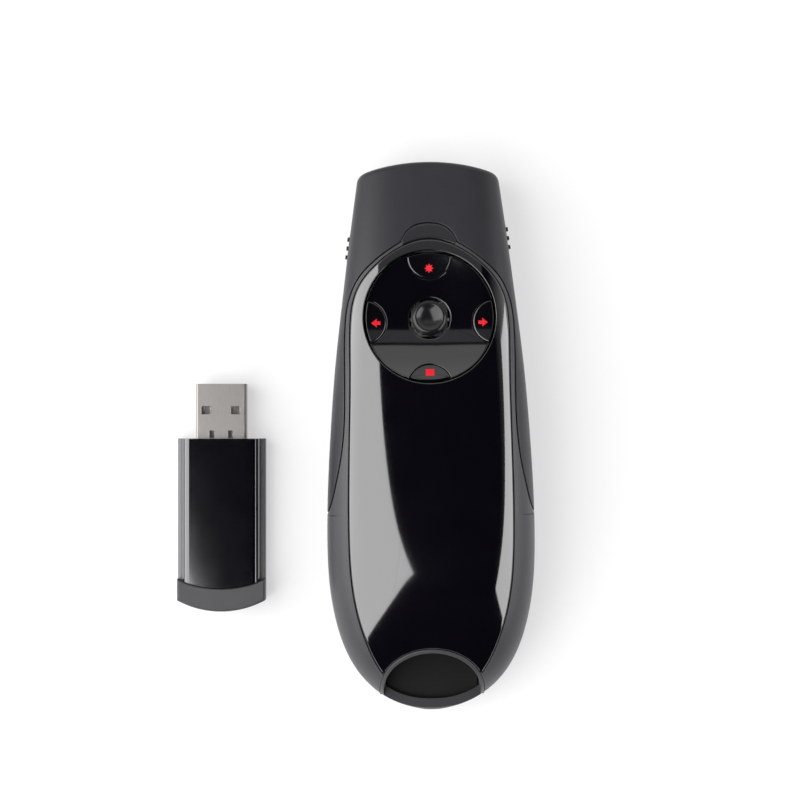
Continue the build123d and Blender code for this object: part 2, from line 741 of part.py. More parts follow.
tube = plan_block(
    -plug_width / 2, plug_width / 2, -7.0, plug_length, plug_z - plug_height / 2, plug_z + plug_height / 2
)
tube = fillet(tube.edges().filter_by(Axis.Y), 0.5)
tube -= plan_block(
    -plug_width / 2 + plug_sheet,
    plug_width / 2 - plug_sheet,
    -8,
    plug_length + 1,
    plug_z - plug_height / 2 + plug_sheet,
    plug_z + plug_height / 2 - plug_sheet,
)
for x in (-3.5, 3.5):
    tube -= plan_block(x - 1.15, x + 1.15, 5.8, 7.7, -1, 9)
for x in (-2.2, 2.2):
    tube -= plan_block(x - 0.55, x + 0.55, 0.15, 1.95, plug_z, 9)
usb_shell = lying * tube
tongue_top = plug_z + 0.1
usb_tongue = lying * plan_block(
    -5.6, 5.6, -6.6, plug_length - 0.5, plug_z - plug_height / 2 + plug_sheet, tongue_top
)
strips = []
strip_end = plug_length - 1.2
strip_top = tongue_top + 0.15
for x in (-3.5, -1.0, 1.0, 3.5):
    long = 8.6 if abs(x) > 2 else 7.8
    strips.append(lying * plan_block(x - 0.5, x + 0.5, strip_end - long, strip_end, tongue_top, strip_top))
usb_contacts = group(strips)
board_z = 1.7
receiver_board = lying * plan_block(-8.2, 8.2, -33.0, -7.4, board_z, board_z + 0.8)
receiver_chip = lying * plan_block(-3.0, 3.0, -18.0, -12.0, board_z + 0.8, board_z + 1.7)
receiver_crystal = lying * plan_block(4.6, 7.0, -20.0, -17.0, board_z + 0.8, board_z + 1.6)
receiver_light = lying * plan_block(-6.6, -5.4, -11.5, -10.0, board_z + 0.8, board_z + 1.5)
board_pegs = [
    lying * rod(x, y, 0.9, core_low - 0.3, board_z) for x in (-7.0, 7.0) for y in (-9.4, -31.4)
]
for peg in board_pegs:
    receiver_base += peg

pieces = {
    "lower_shell": lower_shell,
    "nose_cover": nose_cover,
    "rear_frame": rear_frame,
    "gloss_panel": gloss_panel,
    "status_window": status_window,
    "control_dish": control_dish,
    "laser_button": buttons["laser_button"],
    "back_button": buttons["back_button"],
    "forward_button": buttons["forward_button"],
    "blank_button": buttons["blank_button"],
    "tact_switches": tact_switches,
    "joystick_base": joystick_base,
    "joystick_yoke": joystick_yoke,
    "joystick_stem": joystick_stem,
    "joystick_cap": joystick_cap,
    "power_switch": power_switch,
    "mode_switch": mode_switch,
    "slide_switches": slide_switches,
    "laser_window": laser_window,
    "laser_barrel": laser_barrel,
    "laser_lens": laser_lens,
    "laser_diode": laser_diode,
    "main_board": main_board,
    "radio_chip": radio_chip,
    "radio_crystal": crystal,
    "board_antenna": antenna,
    "status_light": status_light,
    "board_screws": board_screws,
    "case_screws": case_screws,
    "battery_left": battery_left,
    "battery_right": battery_right,
    "battery_contacts": battery_contacts,
    "battery_springs": battery_springs,
    "battery_cover": battery_cover,
    "receiver_bay": receiver_bay,
    "receiver_catch": receiver_catch,
    "receiver_base": receiver_base,
    "receiver_shell": receiver_shell,
    "receiver_end_cap": receiver_end_cap,
    "receiver_board": receiver_board,
    "receiver_chip": receiver_chip,
    "receiver_crystal": receiver_crystal,
    "receiver_light": receiver_light,
    "usb_shell": usb_shell,
    "usb_tongue": usb_tongue,
    "usb_contacts": usb_contacts,
}
for name, shape in pieces.items():
    save(name, shape)
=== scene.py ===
import json
import math
import bpy
import bmesh
import numpy as np
from mathutils import Matrix, Vector


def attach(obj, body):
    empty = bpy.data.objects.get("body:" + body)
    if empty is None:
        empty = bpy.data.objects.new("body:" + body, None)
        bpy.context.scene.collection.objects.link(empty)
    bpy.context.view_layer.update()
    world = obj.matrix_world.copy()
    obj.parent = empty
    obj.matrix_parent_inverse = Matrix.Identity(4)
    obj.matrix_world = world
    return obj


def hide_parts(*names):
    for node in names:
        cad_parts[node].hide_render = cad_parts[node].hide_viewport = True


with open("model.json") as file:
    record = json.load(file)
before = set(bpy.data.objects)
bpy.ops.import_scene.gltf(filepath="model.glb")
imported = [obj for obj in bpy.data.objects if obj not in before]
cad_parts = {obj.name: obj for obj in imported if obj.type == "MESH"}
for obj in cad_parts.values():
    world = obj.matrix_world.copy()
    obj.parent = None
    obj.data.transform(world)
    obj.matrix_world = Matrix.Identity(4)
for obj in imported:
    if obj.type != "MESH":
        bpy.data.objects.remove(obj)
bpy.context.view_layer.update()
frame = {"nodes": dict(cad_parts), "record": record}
print("frame loaded:", len(frame["nodes"]), "nodes")

mm = 0.001

# Clicker body: Y, half width, height of the widest line, top, bottom, upper fullness
bodyForm = {
    "rows": [
        (70.0, 15.20, 11.3, 17.4, 5.3, 4.0),
        (61.4, 16.40, 11.4, 19.5, 3.1, 4.0),
        (48.0, 18.25, 11.5, 22.4, 0.4, 4.0),
        (31.4, 20.35, 11.5, 25.0, -0.7, 4.0),
        (16.3, 22.10, 11.5, 26.5, -0.8, 3.8),
        (1.3, 23.30, 11.5, 27.3, -0.8, 3.6),
        (-12.0, 24.05, 11.4, 27.3, -0.8, 3.4),
        (-24.0, 24.30, 11.2, 26.5, -0.8, 3.2),
        (-34.0, 23.90, 10.7, 25.0, -0.6, 3.0),
        (-43.0, 22.45, 9.9, 22.8, -0.3, 2.9),
        (-50.0, 20.20, 8.9, 20.2, 0.2, 2.8),
        (-55.0, 17.45, 7.9, 17.6, 0.9, 2.7),
        (-59.0, 13.90, 6.8, 14.4, 1.7, 2.6),
        (-61.8, 9.90, 5.9, 11.4, 2.6, 2.5),
        (-63.5, 5.90, 5.4, 8.6, 3.5, 2.4),
        (-64.4, 2.20, 5.1, 6.4, 4.4, 2.3),
    ],
    "lowerFullness": 3.4,
    "noseTip": 64.2,
    "noseRadius": 47.0,
    "split": 8.08,
    "seam": 0.25,
}


# Natural cubic spline through the points by chord length, read at shares 0 to 1 of its length
def throughPoints(points, shares):
    points = np.asarray(points, float)
    step = np.linalg.norm(np.diff(points[:, :2], axis=0), axis=1)
    t = np.concatenate(([0.0], np.cumsum(step)))
    h = np.diff(t)
    n = len(t)
    a = np.zeros((n, n))
    a[0, 0] = a[-1, -1] = 1
    i = np.arange(1, n - 1)
    a[i, i - 1], a[i, i], a[i, i + 1] = h[:-1], 2 * (h[:-1] + h[1:]), h[1:]
    slope = np.diff(points, axis=0) / h[:, None]
    b = np.zeros_like(points)
    b[1:-1] = 6 * (slope[1:] - slope[:-1])
    m = np.linalg.solve(a, b)
    u = np.asarray(shares) * t[-1]
    k = np.clip(np.searchsorted(t, u, side="right") - 1, 0, n - 2)
    d, e, hk = (u - t[k])[:, None], (t[k + 1] - u)[:, None], h[k][:, None]
    bend = (m[k] * e**3 + m[k + 1] * d**3) / (6 * hk)
    return bend + (points[k] / hk - m[k] * hk / 6) * e + (points[k + 1] / hk - m[k + 1] * hk / 6) * d


# Points spaced evenly along a polyline, from share first to share last of its length
def evenly(points, count, first=0.0, last=1.0):
    step = np.linalg.norm(np.diff(points, axis=0), axis=1)
    t = np.concatenate(([0.0], np.cumsum(step)))
    u = np.linspace(first, last, count) * t[-1]
    return np.stack([np.interp(u, t, points[:, c]) for c in range(points.shape[1])], -1)


bodyTable = throughPoints(bodyForm["rows"], np.linspace(0, 1, 6000))[::-1]
bodyEnd = bodyForm["rows"][-1][0]


# Half width, belt, top, bottom and fullness of the body at each y
def bodyAt(y):
    return [np.interp(y, bodyTable[:, 0], bodyTable[:, c]) for c in range(1, 6)]


# Upper skin: z = belt + (top - belt) (1 - |x / half|^n)^(1/n)
def topHeight(x, y):
    half, belt, top, bottom, n = bodyAt(y)
    rest = 1 - np.clip(np.abs(x) / half, 0, 1) ** n
    return belt + (top - belt) * rest ** (1 / n)


# Superellipse value of a point: below 1 inside the body
def bodyValue(x, y, z):
    half, belt, top, bottom, n = bodyAt(y)
    up = z >= belt
    power = np.where(up, n, bodyForm["lowerFullness"])
    tall = np.where(up, top - belt, belt - bottom)
    value = (np.abs(x) / half) ** power + (np.abs(z - belt) / tall) ** power
    return np.where(y < bodyEnd, 2.0, value)


# Section in polar form round the belt: radius = ((|cos| / half)^n + (|sin| / tall)^n)^(-1/n)
def sectionPoint(angle, y):
    half, belt, top, bottom, n = bodyAt(y)
    up = angle >= 0
    power = np.where(up, n, bodyForm["lowerFullness"])
    tall = np.where(up, top - belt, belt - bottom)
    c, s = np.cos(angle), np.sin(angle)
    radius = ((np.abs(c) / half) ** power + (np.abs(s) / tall) ** power) ** (-1 / power)
    return np.stack((radius * c, y + 0 * angle, belt + radius * s), -1)


# Polar angle at which the section reaches a height z
def angleAtHeight(z, y):
    half, belt, top, bottom, n = bodyAt(y)
    up = z >= belt
    power = np.where(up, n, bodyForm["lowerFullness"])
    tall = np.where(up, top - belt, belt - bottom)
    x = half * np.clip(1 - (np.abs(z - belt) / tall) ** power, 0, 1) ** (1 / power)
    return np.arctan2(z - belt, np.maximum(x, 1e-6))


# Unit normals on the left of a polyline's direction
def leftNormals(points):
    along = np.gradient(points, axis=0)
    side = np.stack((-along[:, 1], along[:, 0]), -1)
    return side / np.linalg.norm(side, axis=1, keepdims=True)


# Quad numbers of a grid of rows by cols, optionally closed either way
def gridQuads(rows, cols, wrapRows, wrapCols):
    i, j = np.meshgrid(
        np.arange(rows if wrapRows else rows - 1), np.arange(cols if wrapCols else cols - 1), indexing="ij"
    )
    i2, j2 = (i + 1) % rows, (j + 1) % cols
    return np.stack((i * cols + j, i2 * cols + j, i2 * cols + j2, i * cols + j2), -1)


# One part of a piece: grid points in millimetres, closed ways, turned faces, and a window left open
def part(points, wrapRows=False, wrapCols=False, turned=False, window=None):
    quads = gridQuads(*points.shape[:2], wrapRows, wrapCols)
    keep = np.ones(quads.shape[:2], bool)
    if window:
        r0, r1, c0, c1 = window
        keep[r0:r1, c0:c1] = False
    quads = quads[keep]
    return points.reshape(-1, 3), quads[:, ::-1] if turned else quads


# The same part on the other side of the plane x = 0
def mirrored(made):
    points, quads = made
    return points * (-1, 1, 1), quads[:, ::-1]


# Joins parts into one mesh object that rides on a body and may stand for CAD nodes
def makePiece(name, parts, material, body="clicker", standsFor=(), closed=False, sharp=38):
    start, allPoints, allQuads = 0, [], []
    for points, quads in parts:
        allPoints.append(points)
        allQuads.append(quads + start)
        start += len(points)
    mesh = bpy.data.meshes.new(name)
    mesh.from_pydata((np.concatenate(allPoints) * mm).tolist(), [], np.concatenate(allQuads).tolist())
    work = bmesh.new()
    work.from_mesh(mesh)
    bmesh.ops.remove_doubles(work, verts=work.verts, dist=2e-6)
    bmesh.ops.dissolve_degenerate(work, edges=work.edges, dist=1e-7)
    if closed:
        bmesh.ops.recalc_face_normals(work, faces=work.faces)
    work.to_mesh(mesh)
    work.free()
    mesh.shade_smooth()
    mesh.set_sharp_from_angle(angle=math.radians(sharp))
    piece = bpy.data.objects.new(name, mesh)
    bpy.context.scene.collection.objects.link(piece)
    mesh.materials.append(material)
    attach(piece, body)
    if standsFor:
        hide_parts(*standsFor)
    return piece


# Materials: an empty one with its nodes and links
def newMaterial(name):
    material = bpy.data.materials.new(name)
    material.use_nodes = True
    return material, material.node_tree.nodes, material.node_tree.links


# Fine moulded grain: two noises make a height, a slow one makes a faint tint mask
def grainGroup():
    group = bpy.data.node_groups.new("mouldGrain", "ShaderNodeTree")
    sockets = group.interface
    sockets.new_socket("Scale", in_out="INPUT", socket_type="NodeSocketFloat")
    sockets.new_socket("Depth", in_out="INPUT", socket_type="NodeSocketFloat")
    sockets.new_socket("Normal", in_out="OUTPUT", socket_type="NodeSocketVector")
    sockets.new_socket("Mask", in_out="OUTPUT", socket_type="NodeSocketFloat")
    nodes, links = group.nodes, group.links
    entry = nodes.new("NodeGroupInput")
    result = nodes.new("NodeGroupOutput")
    place = nodes.new("ShaderNodeTexCoord")
    fine = nodes.new("ShaderNodeTexNoise")
    fine.inputs["Detail"].default_value = 3
    links.new(place.outputs["Object"], fine.inputs["Vector"])
    links.new(entry.outputs["Scale"], fine.inputs["Scale"])
    bump = nodes.new("ShaderNodeBump")
    bump.inputs["Distance"].default_value = 0.00006
    links.new(entry.outputs["Depth"], bump.inputs["Strength"])
    links.new(fine.outputs["Fac"], bump.inputs["Height"])
    slow = nodes.new("ShaderNodeTexNoise")
    slow.inputs["Scale"].default_value = 160
    slow.inputs["Detail"].default_value = 4
    links.new(place.outputs["Object"], slow.inputs["Vector"])
    links.new(bump.outputs["Normal"], result.inputs["Normal"])
    links.new(slow.outputs["Fac"], result.inputs["Mask"])
    return group


grain = grainGroup()


# Moulded plastic: colour and roughness drift a little with the mask, grain in the normal
def plastic(name, low, high, rough, depth=0.4, scale=2600, coat=0.0, drift=0.06, ior=1.5):
    material, nodes, links = newMaterial(name)
    shader = nodes["Principled BSDF"]
    shader.inputs["IOR"].default_value = ior
    shader.inputs["Coat Weight"].default_value = coat
    shader.inputs["Coat Roughness"].default_value = 0.03
    surface = nodes.new("ShaderNodeGroup")
    surface.node_tree = grain
    surface.inputs["Scale"].default_value = scale
    surface.inputs["Depth"].default_value = depth
    tint = nodes.new("ShaderNodeMix")
    tint.data_type = "RGBA"
    tint.inputs["A"].default_value = (*low, 1)
    tint.inputs["B"].default_value = (*high, 1)
    links.new(surface.outputs["Mask"], tint.inputs["Factor"])
    links.new(tint.outputs["Result"], shader.inputs["Base Color"])
    change = nodes.new("ShaderNodeMapRange")
    change.inputs["To Min"].default_value = rough - drift
    change.inputs["To Max"].default_value = rough + drift
    links.new(surface.outputs["Mask"], change.inputs["Value"])
    links.new(change.outputs["Result"], shader.inputs["Roughness"])
    links.new(surface.outputs["Normal"], shader.inputs["Normal"])
    return material


# Drawn metal: noise stretched along one axis gives fine lines in colour, roughness and normal
def metal(name, low, high, rough, stretch=(1, 1, 14), depth=0.25):
    material, nodes, links = newMaterial(name)
    shader = nodes["Principled BSDF"]
    shader.inputs["Metallic"].default_value = 1.0
    place = nodes.new("ShaderNodeTexCoord")
    turn = nodes.new("ShaderNodeMapping")
    turn.inputs["Scale"].default_value = stretch
    lines = nodes.new("ShaderNodeTexNoise")
    lines.inputs["Scale"].default_value = 500
    lines.inputs["Detail"].default_value = 5
    links.new(place.outputs["Object"], turn.inputs["Vector"])
    links.new(turn.outputs["Vector"], lines.inputs["Vector"])
    tint = nodes.new("ShaderNodeMix")
    tint.data_type = "RGBA"
    tint.inputs["A"].default_value = (*low, 1)
    tint.inputs["B"].default_value = (*high, 1)
    links.new(lines.outputs["Fac"], tint.inputs["Factor"])
    links.new(tint.outputs["Result"], shader.inputs["Base Color"])
    change = nodes.new("ShaderNodeMapRange")
    change.inputs["To Min"].default_value = rough - 0.08
    change.inputs["To Max"].default_value = rough + 0.08
    links.new(lines.outputs["Fac"], change.inputs["Value"])
    links.new(change.outputs["Result"], shader.inputs["Roughness"])
    bump = nodes.new("ShaderNodeBump")
    bump.inputs["Distance"].default_value = 0.00003
    bump.inputs["Strength"].default_value = depth
    links.new(lines.outputs["Fac"], bump.inputs["Height"])
    links.new(bump.outputs["Normal"], shader.inputs["Normal"])
    return material


finishes = {
    "charcoal": plastic("charcoalMatte", (0.013, 0.013, 0.017), (0.018, 0.018, 0.023), 0.46, 0.5),
    "ring": plastic("ringMatte", (0.044, 0.044, 0.049), (0.054, 0.054, 0.060), 0.42, 0.35),
    "gloss": plastic(
        "blackGloss", (0.0020, 0.0018, 0.0034), (0.0034, 0.0030, 0.0052), 0.07, 0.01, 900, 1.0, 0.02, 1.85
    ),
    "button": plastic(
        "buttonGloss", (0.0022, 0.0020, 0.0034), (0.0038, 0.0034, 0.0052), 0.10, 0.02, 900, 1.0, 0.02, 1.6
    ),
    "nub": plastic("nubRubber", (0.006, 0.006, 0.007), (0.010, 0.010, 0.011), 0.19, 0.3, 3200, drift=0.03),
    "slider": plastic("sliderBlack", (0.014, 0.014, 0.016), (0.020, 0.020, 0.022), 0.36, 0.3),
    "smoked": plastic(
        "smokedWindow", (0.020, 0.020, 0.023), (0.026, 0.026, 0.030), 0.16, 0.02, 900, 0.2, 0.02
    ),
    "bay": plastic("bayBlack", (0.003, 0.003, 0.004), (0.006, 0.006, 0.007), 0.50, 0.3, ior=1.3),
    "side": plastic("receiverSide", (0.16, 0.16, 0.17), (0.19, 0.19, 0.20), 0.40, 0.3),
    "capGrey": plastic("receiverCap", (0.042, 0.042, 0.047), (0.054, 0.054, 0.060), 0.45, 0.4),
    "tongue": plastic("tongueWhite", (0.72, 0.72, 0.70), (0.80, 0.80, 0.78), 0.40, 0.2),
    "board": plastic("boardGreen", (0.012, 0.10, 0.035), (0.020, 0.14, 0.05), 0.35, 0.3),
    "cell": plastic("cellWrap", (0.10, 0.10, 0.11), (0.62, 0.34, 0.05), 0.25, 0.1),
    "chip": plastic("chipBlack", (0.012, 0.012, 0.013), (0.02, 0.02, 0.021), 0.40, 0.3),
    "steel": metal("springSteel", (0.50, 0.50, 0.50), (0.62, 0.61, 0.60), 0.28),
    "plug": metal("plugSteel", (0.275, 0.258, 0.248), (0.35, 0.332, 0.318), 0.34, (14, 1, 14)),
    "screw": metal("screwBlack", (0.05, 0.05, 0.05), (0.09, 0.09, 0.09), 0.35),
    "brass": metal("brass", (0.62, 0.42, 0.15), (0.76, 0.55, 0.24), 0.25),
    "contact": metal("contactGrey", (0.13, 0.12, 0.11), (0.20, 0.19, 0.17), 0.40),
}


# Printed ink: the colour drifts by a tenth with a fine speck
def printInk(name, colour):
    material, nodes, links = newMaterial(name)
    shader = nodes["Principled BSDF"]
    shader.inputs["Roughness"].default_value = 0.35
    place = nodes.new("ShaderNodeTexCoord")
    speck = nodes.new("ShaderNodeTexNoise")
    speck.inputs["Scale"].default_value = 3000
    links.new(place.outputs["Object"], speck.inputs["Vector"])
    tint = nodes.new("ShaderNodeMix")
    tint.data_type = "RGBA"
    tint.inputs["A"].default_value = (*colour, 1)
    tint.inputs["B"].default_value = (*[0.9 * c for c in colour], 1)
    links.new(speck.outputs["Fac"], tint.inputs["Factor"])
    links.new(tint.outputs["Result"], shader.inputs["Base Color"])
    return material


finishes["ink"] = printInk("redInk", (0.78, 0.006, 0.020))


# Clear red plastic of the windows and lamps, with a slight haze
def clearRed():
    material, nodes, links = newMaterial("clearWindow")
    shader = nodes["Principled BSDF"]
    shader.inputs["Base Color"].default_value = (0.55, 0.03, 0.03, 1)
    shader.inputs["Transmission Weight"].default_value = 0.9
    place = nodes.new("ShaderNodeTexCoord")
    haze = nodes.new("ShaderNodeTexNoise")
    haze.inputs["Scale"].default_value = 900
    links.new(place.outputs["Object"], haze.inputs["Vector"])
    change = nodes.new("ShaderNodeMapRange")
    change.inputs["To Min"].default_value = 0.03
    change.inputs["To Max"].default_value = 0.10
    links.new(haze.outputs["Fac"], change.inputs["Value"])
    links.new(change.outputs["Result"], shader.inputs["Roughness"])
    return material


finishes["clear"] = clearRed()
slotFinish = {
    "charcoal_matte": "charcoal",
    "black_gloss": "gloss",
    "button_gloss": "button",
    "smoked_window": "smoked",
    "nub_black": "nub",
    "slider_black": "slider",
    "switch_black": "chip",
    "bay_black": "bay",
    "receiver_side": "side",
    "steel": "steel",
    "plug_steel": "plug",
    "screw_black": "screw",
    "brass": "brass",
    "board_green": "board",
    "cell_wrap": "cell",
    "tongue_white": "tongue",
    "clear_window": "clear",
}
nodeFinish = {"receiver_end_cap": "capGrey", "usb_contacts": "contact"}
for row in frame["record"]["subparts"]:
    nodeFinish.setdefault(row["node"], slotFinish[row["material_slot"]])
for name, node in frame["nodes"].items():
    finish = finishes[nodeFinish[name]]
    if not node.material_slots:
        node.data.materials.append(finish)
    for holder in node.material_slots:
        holder.material = finish
print("materials made:", len(finishes))

# Plan outlines of the clicker: right halves, from the nose to the tail or back
outlines = {
    "insert": [
        (0.0, 45.9), (3.1, 45.5), (6.1, 44.4), (9.2, 42.6), (12.1, 40.3), (14.6, 37.7), (16.4, 35.0),
        (17.6, 31.8), (18.2, 28.0), (18.4, 23.0), (18.4, 16.0), (18.6, 4.0), (18.9, -9.0), (19.0, -22.0),
        (18.6, -32.0), (17.3, -40.5), (15.2, -47.5), (12.6, -53.2), (9.0, -58.0), (4.6, -61.0), (0.0, -62.0),
    ],
    "coverEdge": [
        (26.0, -19.6), (24.2, -17.2), (22.9, -13.9), (22.0, -10.2), (21.2, -6.4), (20.5, -2.2), (20.0, 3.0),
        (19.8, 12.0), (19.8, 21.0), (19.6, 26.5), (19.1, 30.6), (18.2, 33.7), (16.9, 36.4), (14.9, 39.0),
        (12.3, 41.4), (9.4, 43.6), (6.7, 45.3),
    ],
    "brow": [(6.7, 45.3), (5.7, 47.2), (4.3, 48.7), (2.4, 49.6), (0.0, 49.9)],
    "cutoutCentre": -59.3,
    "cutoutHalf": 11.4,
    "cutoutReach": 9.4,
    "rim": 0.9,
    "panelGap": 0.15,
    "panelThick": 1.7,
}


# Spline through a half outline, carried on by its mirror image where it meets the plane x = 0
def halfCurve(points, mirrorFirst=True, mirrorLast=True):
    points = list(points)
    before = [(-x, y) for x, y in points[1:4]][::-1] if mirrorFirst else []
    after = [(-x, y) for x, y in points[-4:-1]][::-1] if mirrorLast else []
    dense = throughPoints(before + points + after, np.linspace(0, 1, 6000))
    first = np.argmin(np.linalg.norm(dense - points[0], axis=1))
    last = np.argmin(np.linalg.norm(dense - points[-1], axis=1))
    dense = dense[first : last + 1]
    dense[0], dense[-1] = points[0], points[-1]
    return dense


insertHalf = halfCurve(outlines["insert"])
coverHalf = halfCurve(outlines["coverEdge"], False, False)
browHalf = halfCurve(outlines["brow"], False, True)


# Right half of the finger cut-out, grown: an ellipse from its front end, then straight to the tail
def rimHalf(grow):
    angle = np.linspace(0, math.pi / 2, 800)
    half, reach = outlines["cutoutHalf"] + grow, outlines["cutoutReach"] + grow
    arch = np.stack((half * np.sin(angle), outlines["cutoutCentre"] + reach * np.cos(angle)), -1)
    tail = np.stack((np.full(200, half), np.linspace(outlines["cutoutCentre"], -64.0, 200)), -1)
    return np.concatenate((arch, tail[1:]))


# Half loop and its mirror image as one closed loop, running from the front of x = 0 round the right side
def closedLoop(half):
    return np.concatenate((half, (half * (-1, 1))[-2:0:-1]))


# Plan points (x, y) set on the upper skin and lowered by drop
def onTop(plan, drop=0.0):
    x, y = plan[:, 0], plan[:, 1]
    return np.stack((x, y, topHeight(x, y) - drop), -1)


roundSteps = np.radians([0, 25, 50, 72, 90])  # turns at which a rounded border has its rows


# Plate: plan = inner + share (outer - inner), height from a given surface, borders rounded
def plateBetween(inner, outer, height, thick, roundIn, roundOut, count):
    outward = leftNormals(np.concatenate((outer[-3:], outer, outer[:3])))[3:-3]
    centre = inner.mean(0)
    if np.sum(outward * (outer - centre), 1).mean() < 0:
        outward = -outward
    columns = []
    away = inner - centre
    span = np.linalg.norm(away, axis=1, keepdims=True)
    pole = span.max() < 1e-6
    inward = np.zeros_like(away) if pole else -away / span

    def column(plan, drop):
        columns.append(np.stack((plan[:, 0], plan[:, 1], height(plan[:, 0], plan[:, 1]) - drop), -1))

    innerTop = inner - inward * roundIn
    outerTop = outer - outward * roundOut
    if not pole:
        column(inner, thick)
        for a in roundSteps[:0:-1]:
            column(innerTop + inward * roundIn * math.sin(a), roundIn * (1 - math.cos(a)))
    for share in np.linspace(0, 1, count):
        column(innerTop + (outerTop - innerTop) * share, 0)
    for a in roundSteps[1:]:
        column(outerTop + outward * roundOut * math.sin(a), roundOut * (1 - math.cos(a)))
    column(outer, thick)
    if pole:
        column(inner, thick)
    return part(np.stack(columns, 1), True, not pole)


# Gloss insert: ring from the dish well to the insert outline, notched by the cut-out
panelForm = {
    "well": 15.35, "roundWell": 0.2, "roundEdge": 0.3, "rows": 72, "frontSteps": 300, "notchSteps": 60,
}
dish = {"y": 28.0, "z": 24.15, "tilt": -6.7, "radius": 15.05, "sink": 2.3, "thick": 1.2, "sideDrop": 1.5}
notchGrow = outlines["rim"] + outlines["panelGap"]
rimOuter = rimHalf(notchGrow)
reachOut = outlines["cutoutReach"] + notchGrow
halfOut = outlines["cutoutHalf"] + notchGrow
away = (insertHalf[:, 0] / halfOut) ** 2 + ((insertHalf[:, 1] - outlines["cutoutCentre"]) / reachOut) ** 2
hit = np.argmax((away < 1) & (insertHalf[:, 1] < -45))
tip = insertHalf[hit]
rimHit = np.argmin(np.linalg.norm(rimOuter - tip, axis=1))
frontArc = evenly(insertHalf[:hit], panelForm["frontSteps"])
notch = evenly(rimOuter[: rimHit + 1], panelForm["notchSteps"])
panelLoop = closedLoop(np.concatenate((frontArc, notch[::-1])))


# Circle round the dish centre, met by the rays to each point of a loop
def circleUnder(loop, radius, centre):
    ray = loop - centre
    return centre + ray / np.linalg.norm(ray, axis=1, keepdims=True) * radius


dishCentre = np.array((0.0, dish["y"]))
panelInner = circleUnder(panelLoop, panelForm["well"], dishCentre)
panelPlate = plateBetween(panelInner, panelLoop, topHeight, outlines["panelThick"],
                          panelForm["roundWell"], panelForm["roundEdge"], panelForm["rows"])
makePiece(
    "glossPanel", [panelPlate], finishes["gloss"],
    standsFor=["gloss_panel"], closed=True,
)
print("insert made")

# Status window: between the insert's front and the brow, z = upper skin
windowForm = {
    "halfWidth": 6.35, "columns": 60, "frontSamples": 2000, "rearGap": 0.35, "browGap": 0.25, "least": 0.02,
    "spine": 0.93, "shares": (0.0, 0.35, 0.7, 0.88), "narrow": 0.97, "edgeWide": 0.985, "edgeLong": 0.97,
    "edgeDrop": 0.05, "lipDrop": 0.18, "footDrop": 1.5,
}
sideX = np.linspace(0, windowForm["halfWidth"], windowForm["columns"])
insertStart = insertHalf[: windowForm["frontSamples"]]
insertFront = np.interp(sideX, insertStart[:, 0], insertStart[:, 1]) + windowForm["rearGap"]
browLine = np.interp(sideX, browHalf[::-1, 0], browHalf[::-1, 1]) - windowForm["browGap"]
browLine = np.maximum(browLine, insertFront + windowForm["least"])
frontLine = np.stack((sideX, browLine), -1)
backLine = np.stack((sideX, insertFront), -1)
windowHalf = np.concatenate((frontLine, backLine[::-1]))
windowLoop = closedLoop(windowHalf)
windowInner = closedLoop(windowHalf * (windowForm["spine"], 0))
middleY = np.interp(np.abs(windowInner[:, 0]), sideX, (browLine + insertFront) / 2)
windowRows = []
for share in windowForm["shares"]:
    x = windowInner[:, 0] + (windowLoop[:, 0] * windowForm["narrow"] - windowInner[:, 0]) * share
    y = middleY + (windowLoop[:, 1] - middleY) * share
    windowRows.append(onTop(np.stack((x, y), -1)))
edgeX = windowLoop[:, 0] * windowForm["edgeWide"]
edgeY = middleY + (windowLoop[:, 1] - middleY) * windowForm["edgeLong"]
windowRows.append(onTop(np.stack((edgeX, edgeY), -1), windowForm["edgeDrop"]))
windowRows.append(onTop(windowLoop, windowForm["lipDrop"]))
windowRows.append(onTop(windowLoop, windowForm["footDrop"]))
makePiece(
    "statusWindow", [part(np.stack(windowRows, 1), True, False)], finishes["smoked"],
    standsFor=["status_window"], sharp=50,
)
print("status window made")

# Nose cover: rows along the body, columns from its rear edge round the flank to the split
coverForm = {
    "slotLow": 9.85, "slotHigh": 13.15, "slotTail": 40.85, "slotNose": 50.0, "edge": 0.2, "groove": 0.7,
    "frontTop": 1.2, "frontSide": 2.0, "frontRow": 62.0,
    "sightZ": 11.6, "sightRadius": 2.4, "sightDepth": 0.9, "wingTip": 0.6, "lip": 0.9, "slotEdge": 0.25, "slotDepth": 1.9,
    "wingRows": (150, 60, 26), "columns": (70, 16, 8), "noseRows": 40, "faceRows": 14, "baseColumns": 60,
    "frontTurns": (12, 24, 36, 48, 60, 72, 81, 90),
}
edgeCurve = np.concatenate((coverHalf, browHalf[1:]))
halfAt = bodyAt(edgeCurve[:, 1])[0]
wingStart = np.argmax(edgeCurve[:, 0] < halfAt)
edgeCurve = edgeCurve[wingStart:]
cutA = np.argmin(np.abs(edgeCurve[:, 1] - coverForm["slotTail"]))
cutB = np.argmin(np.abs(edgeCurve[:, 1] - coverForm["slotNose"]))
rowsA, rowsB, rowsC = coverForm["wingRows"]
wing = np.concatenate((
    evenly(edgeCurve[: cutA + 1], rowsA),
    evenly(edgeCurve[cutA : cutB + 1], rowsB)[1:],
    evenly(edgeCurve[cutB:], rowsC)[1:],
))
wingNormal = leftNormals(np.concatenate((wing, wing[-2:-6:-1] * (-1, 1))))[: len(wing)]
wingIn = wing - wingNormal * coverForm["edge"]
wingIn[-1, 0] = 0
columns = coverForm["columns"]


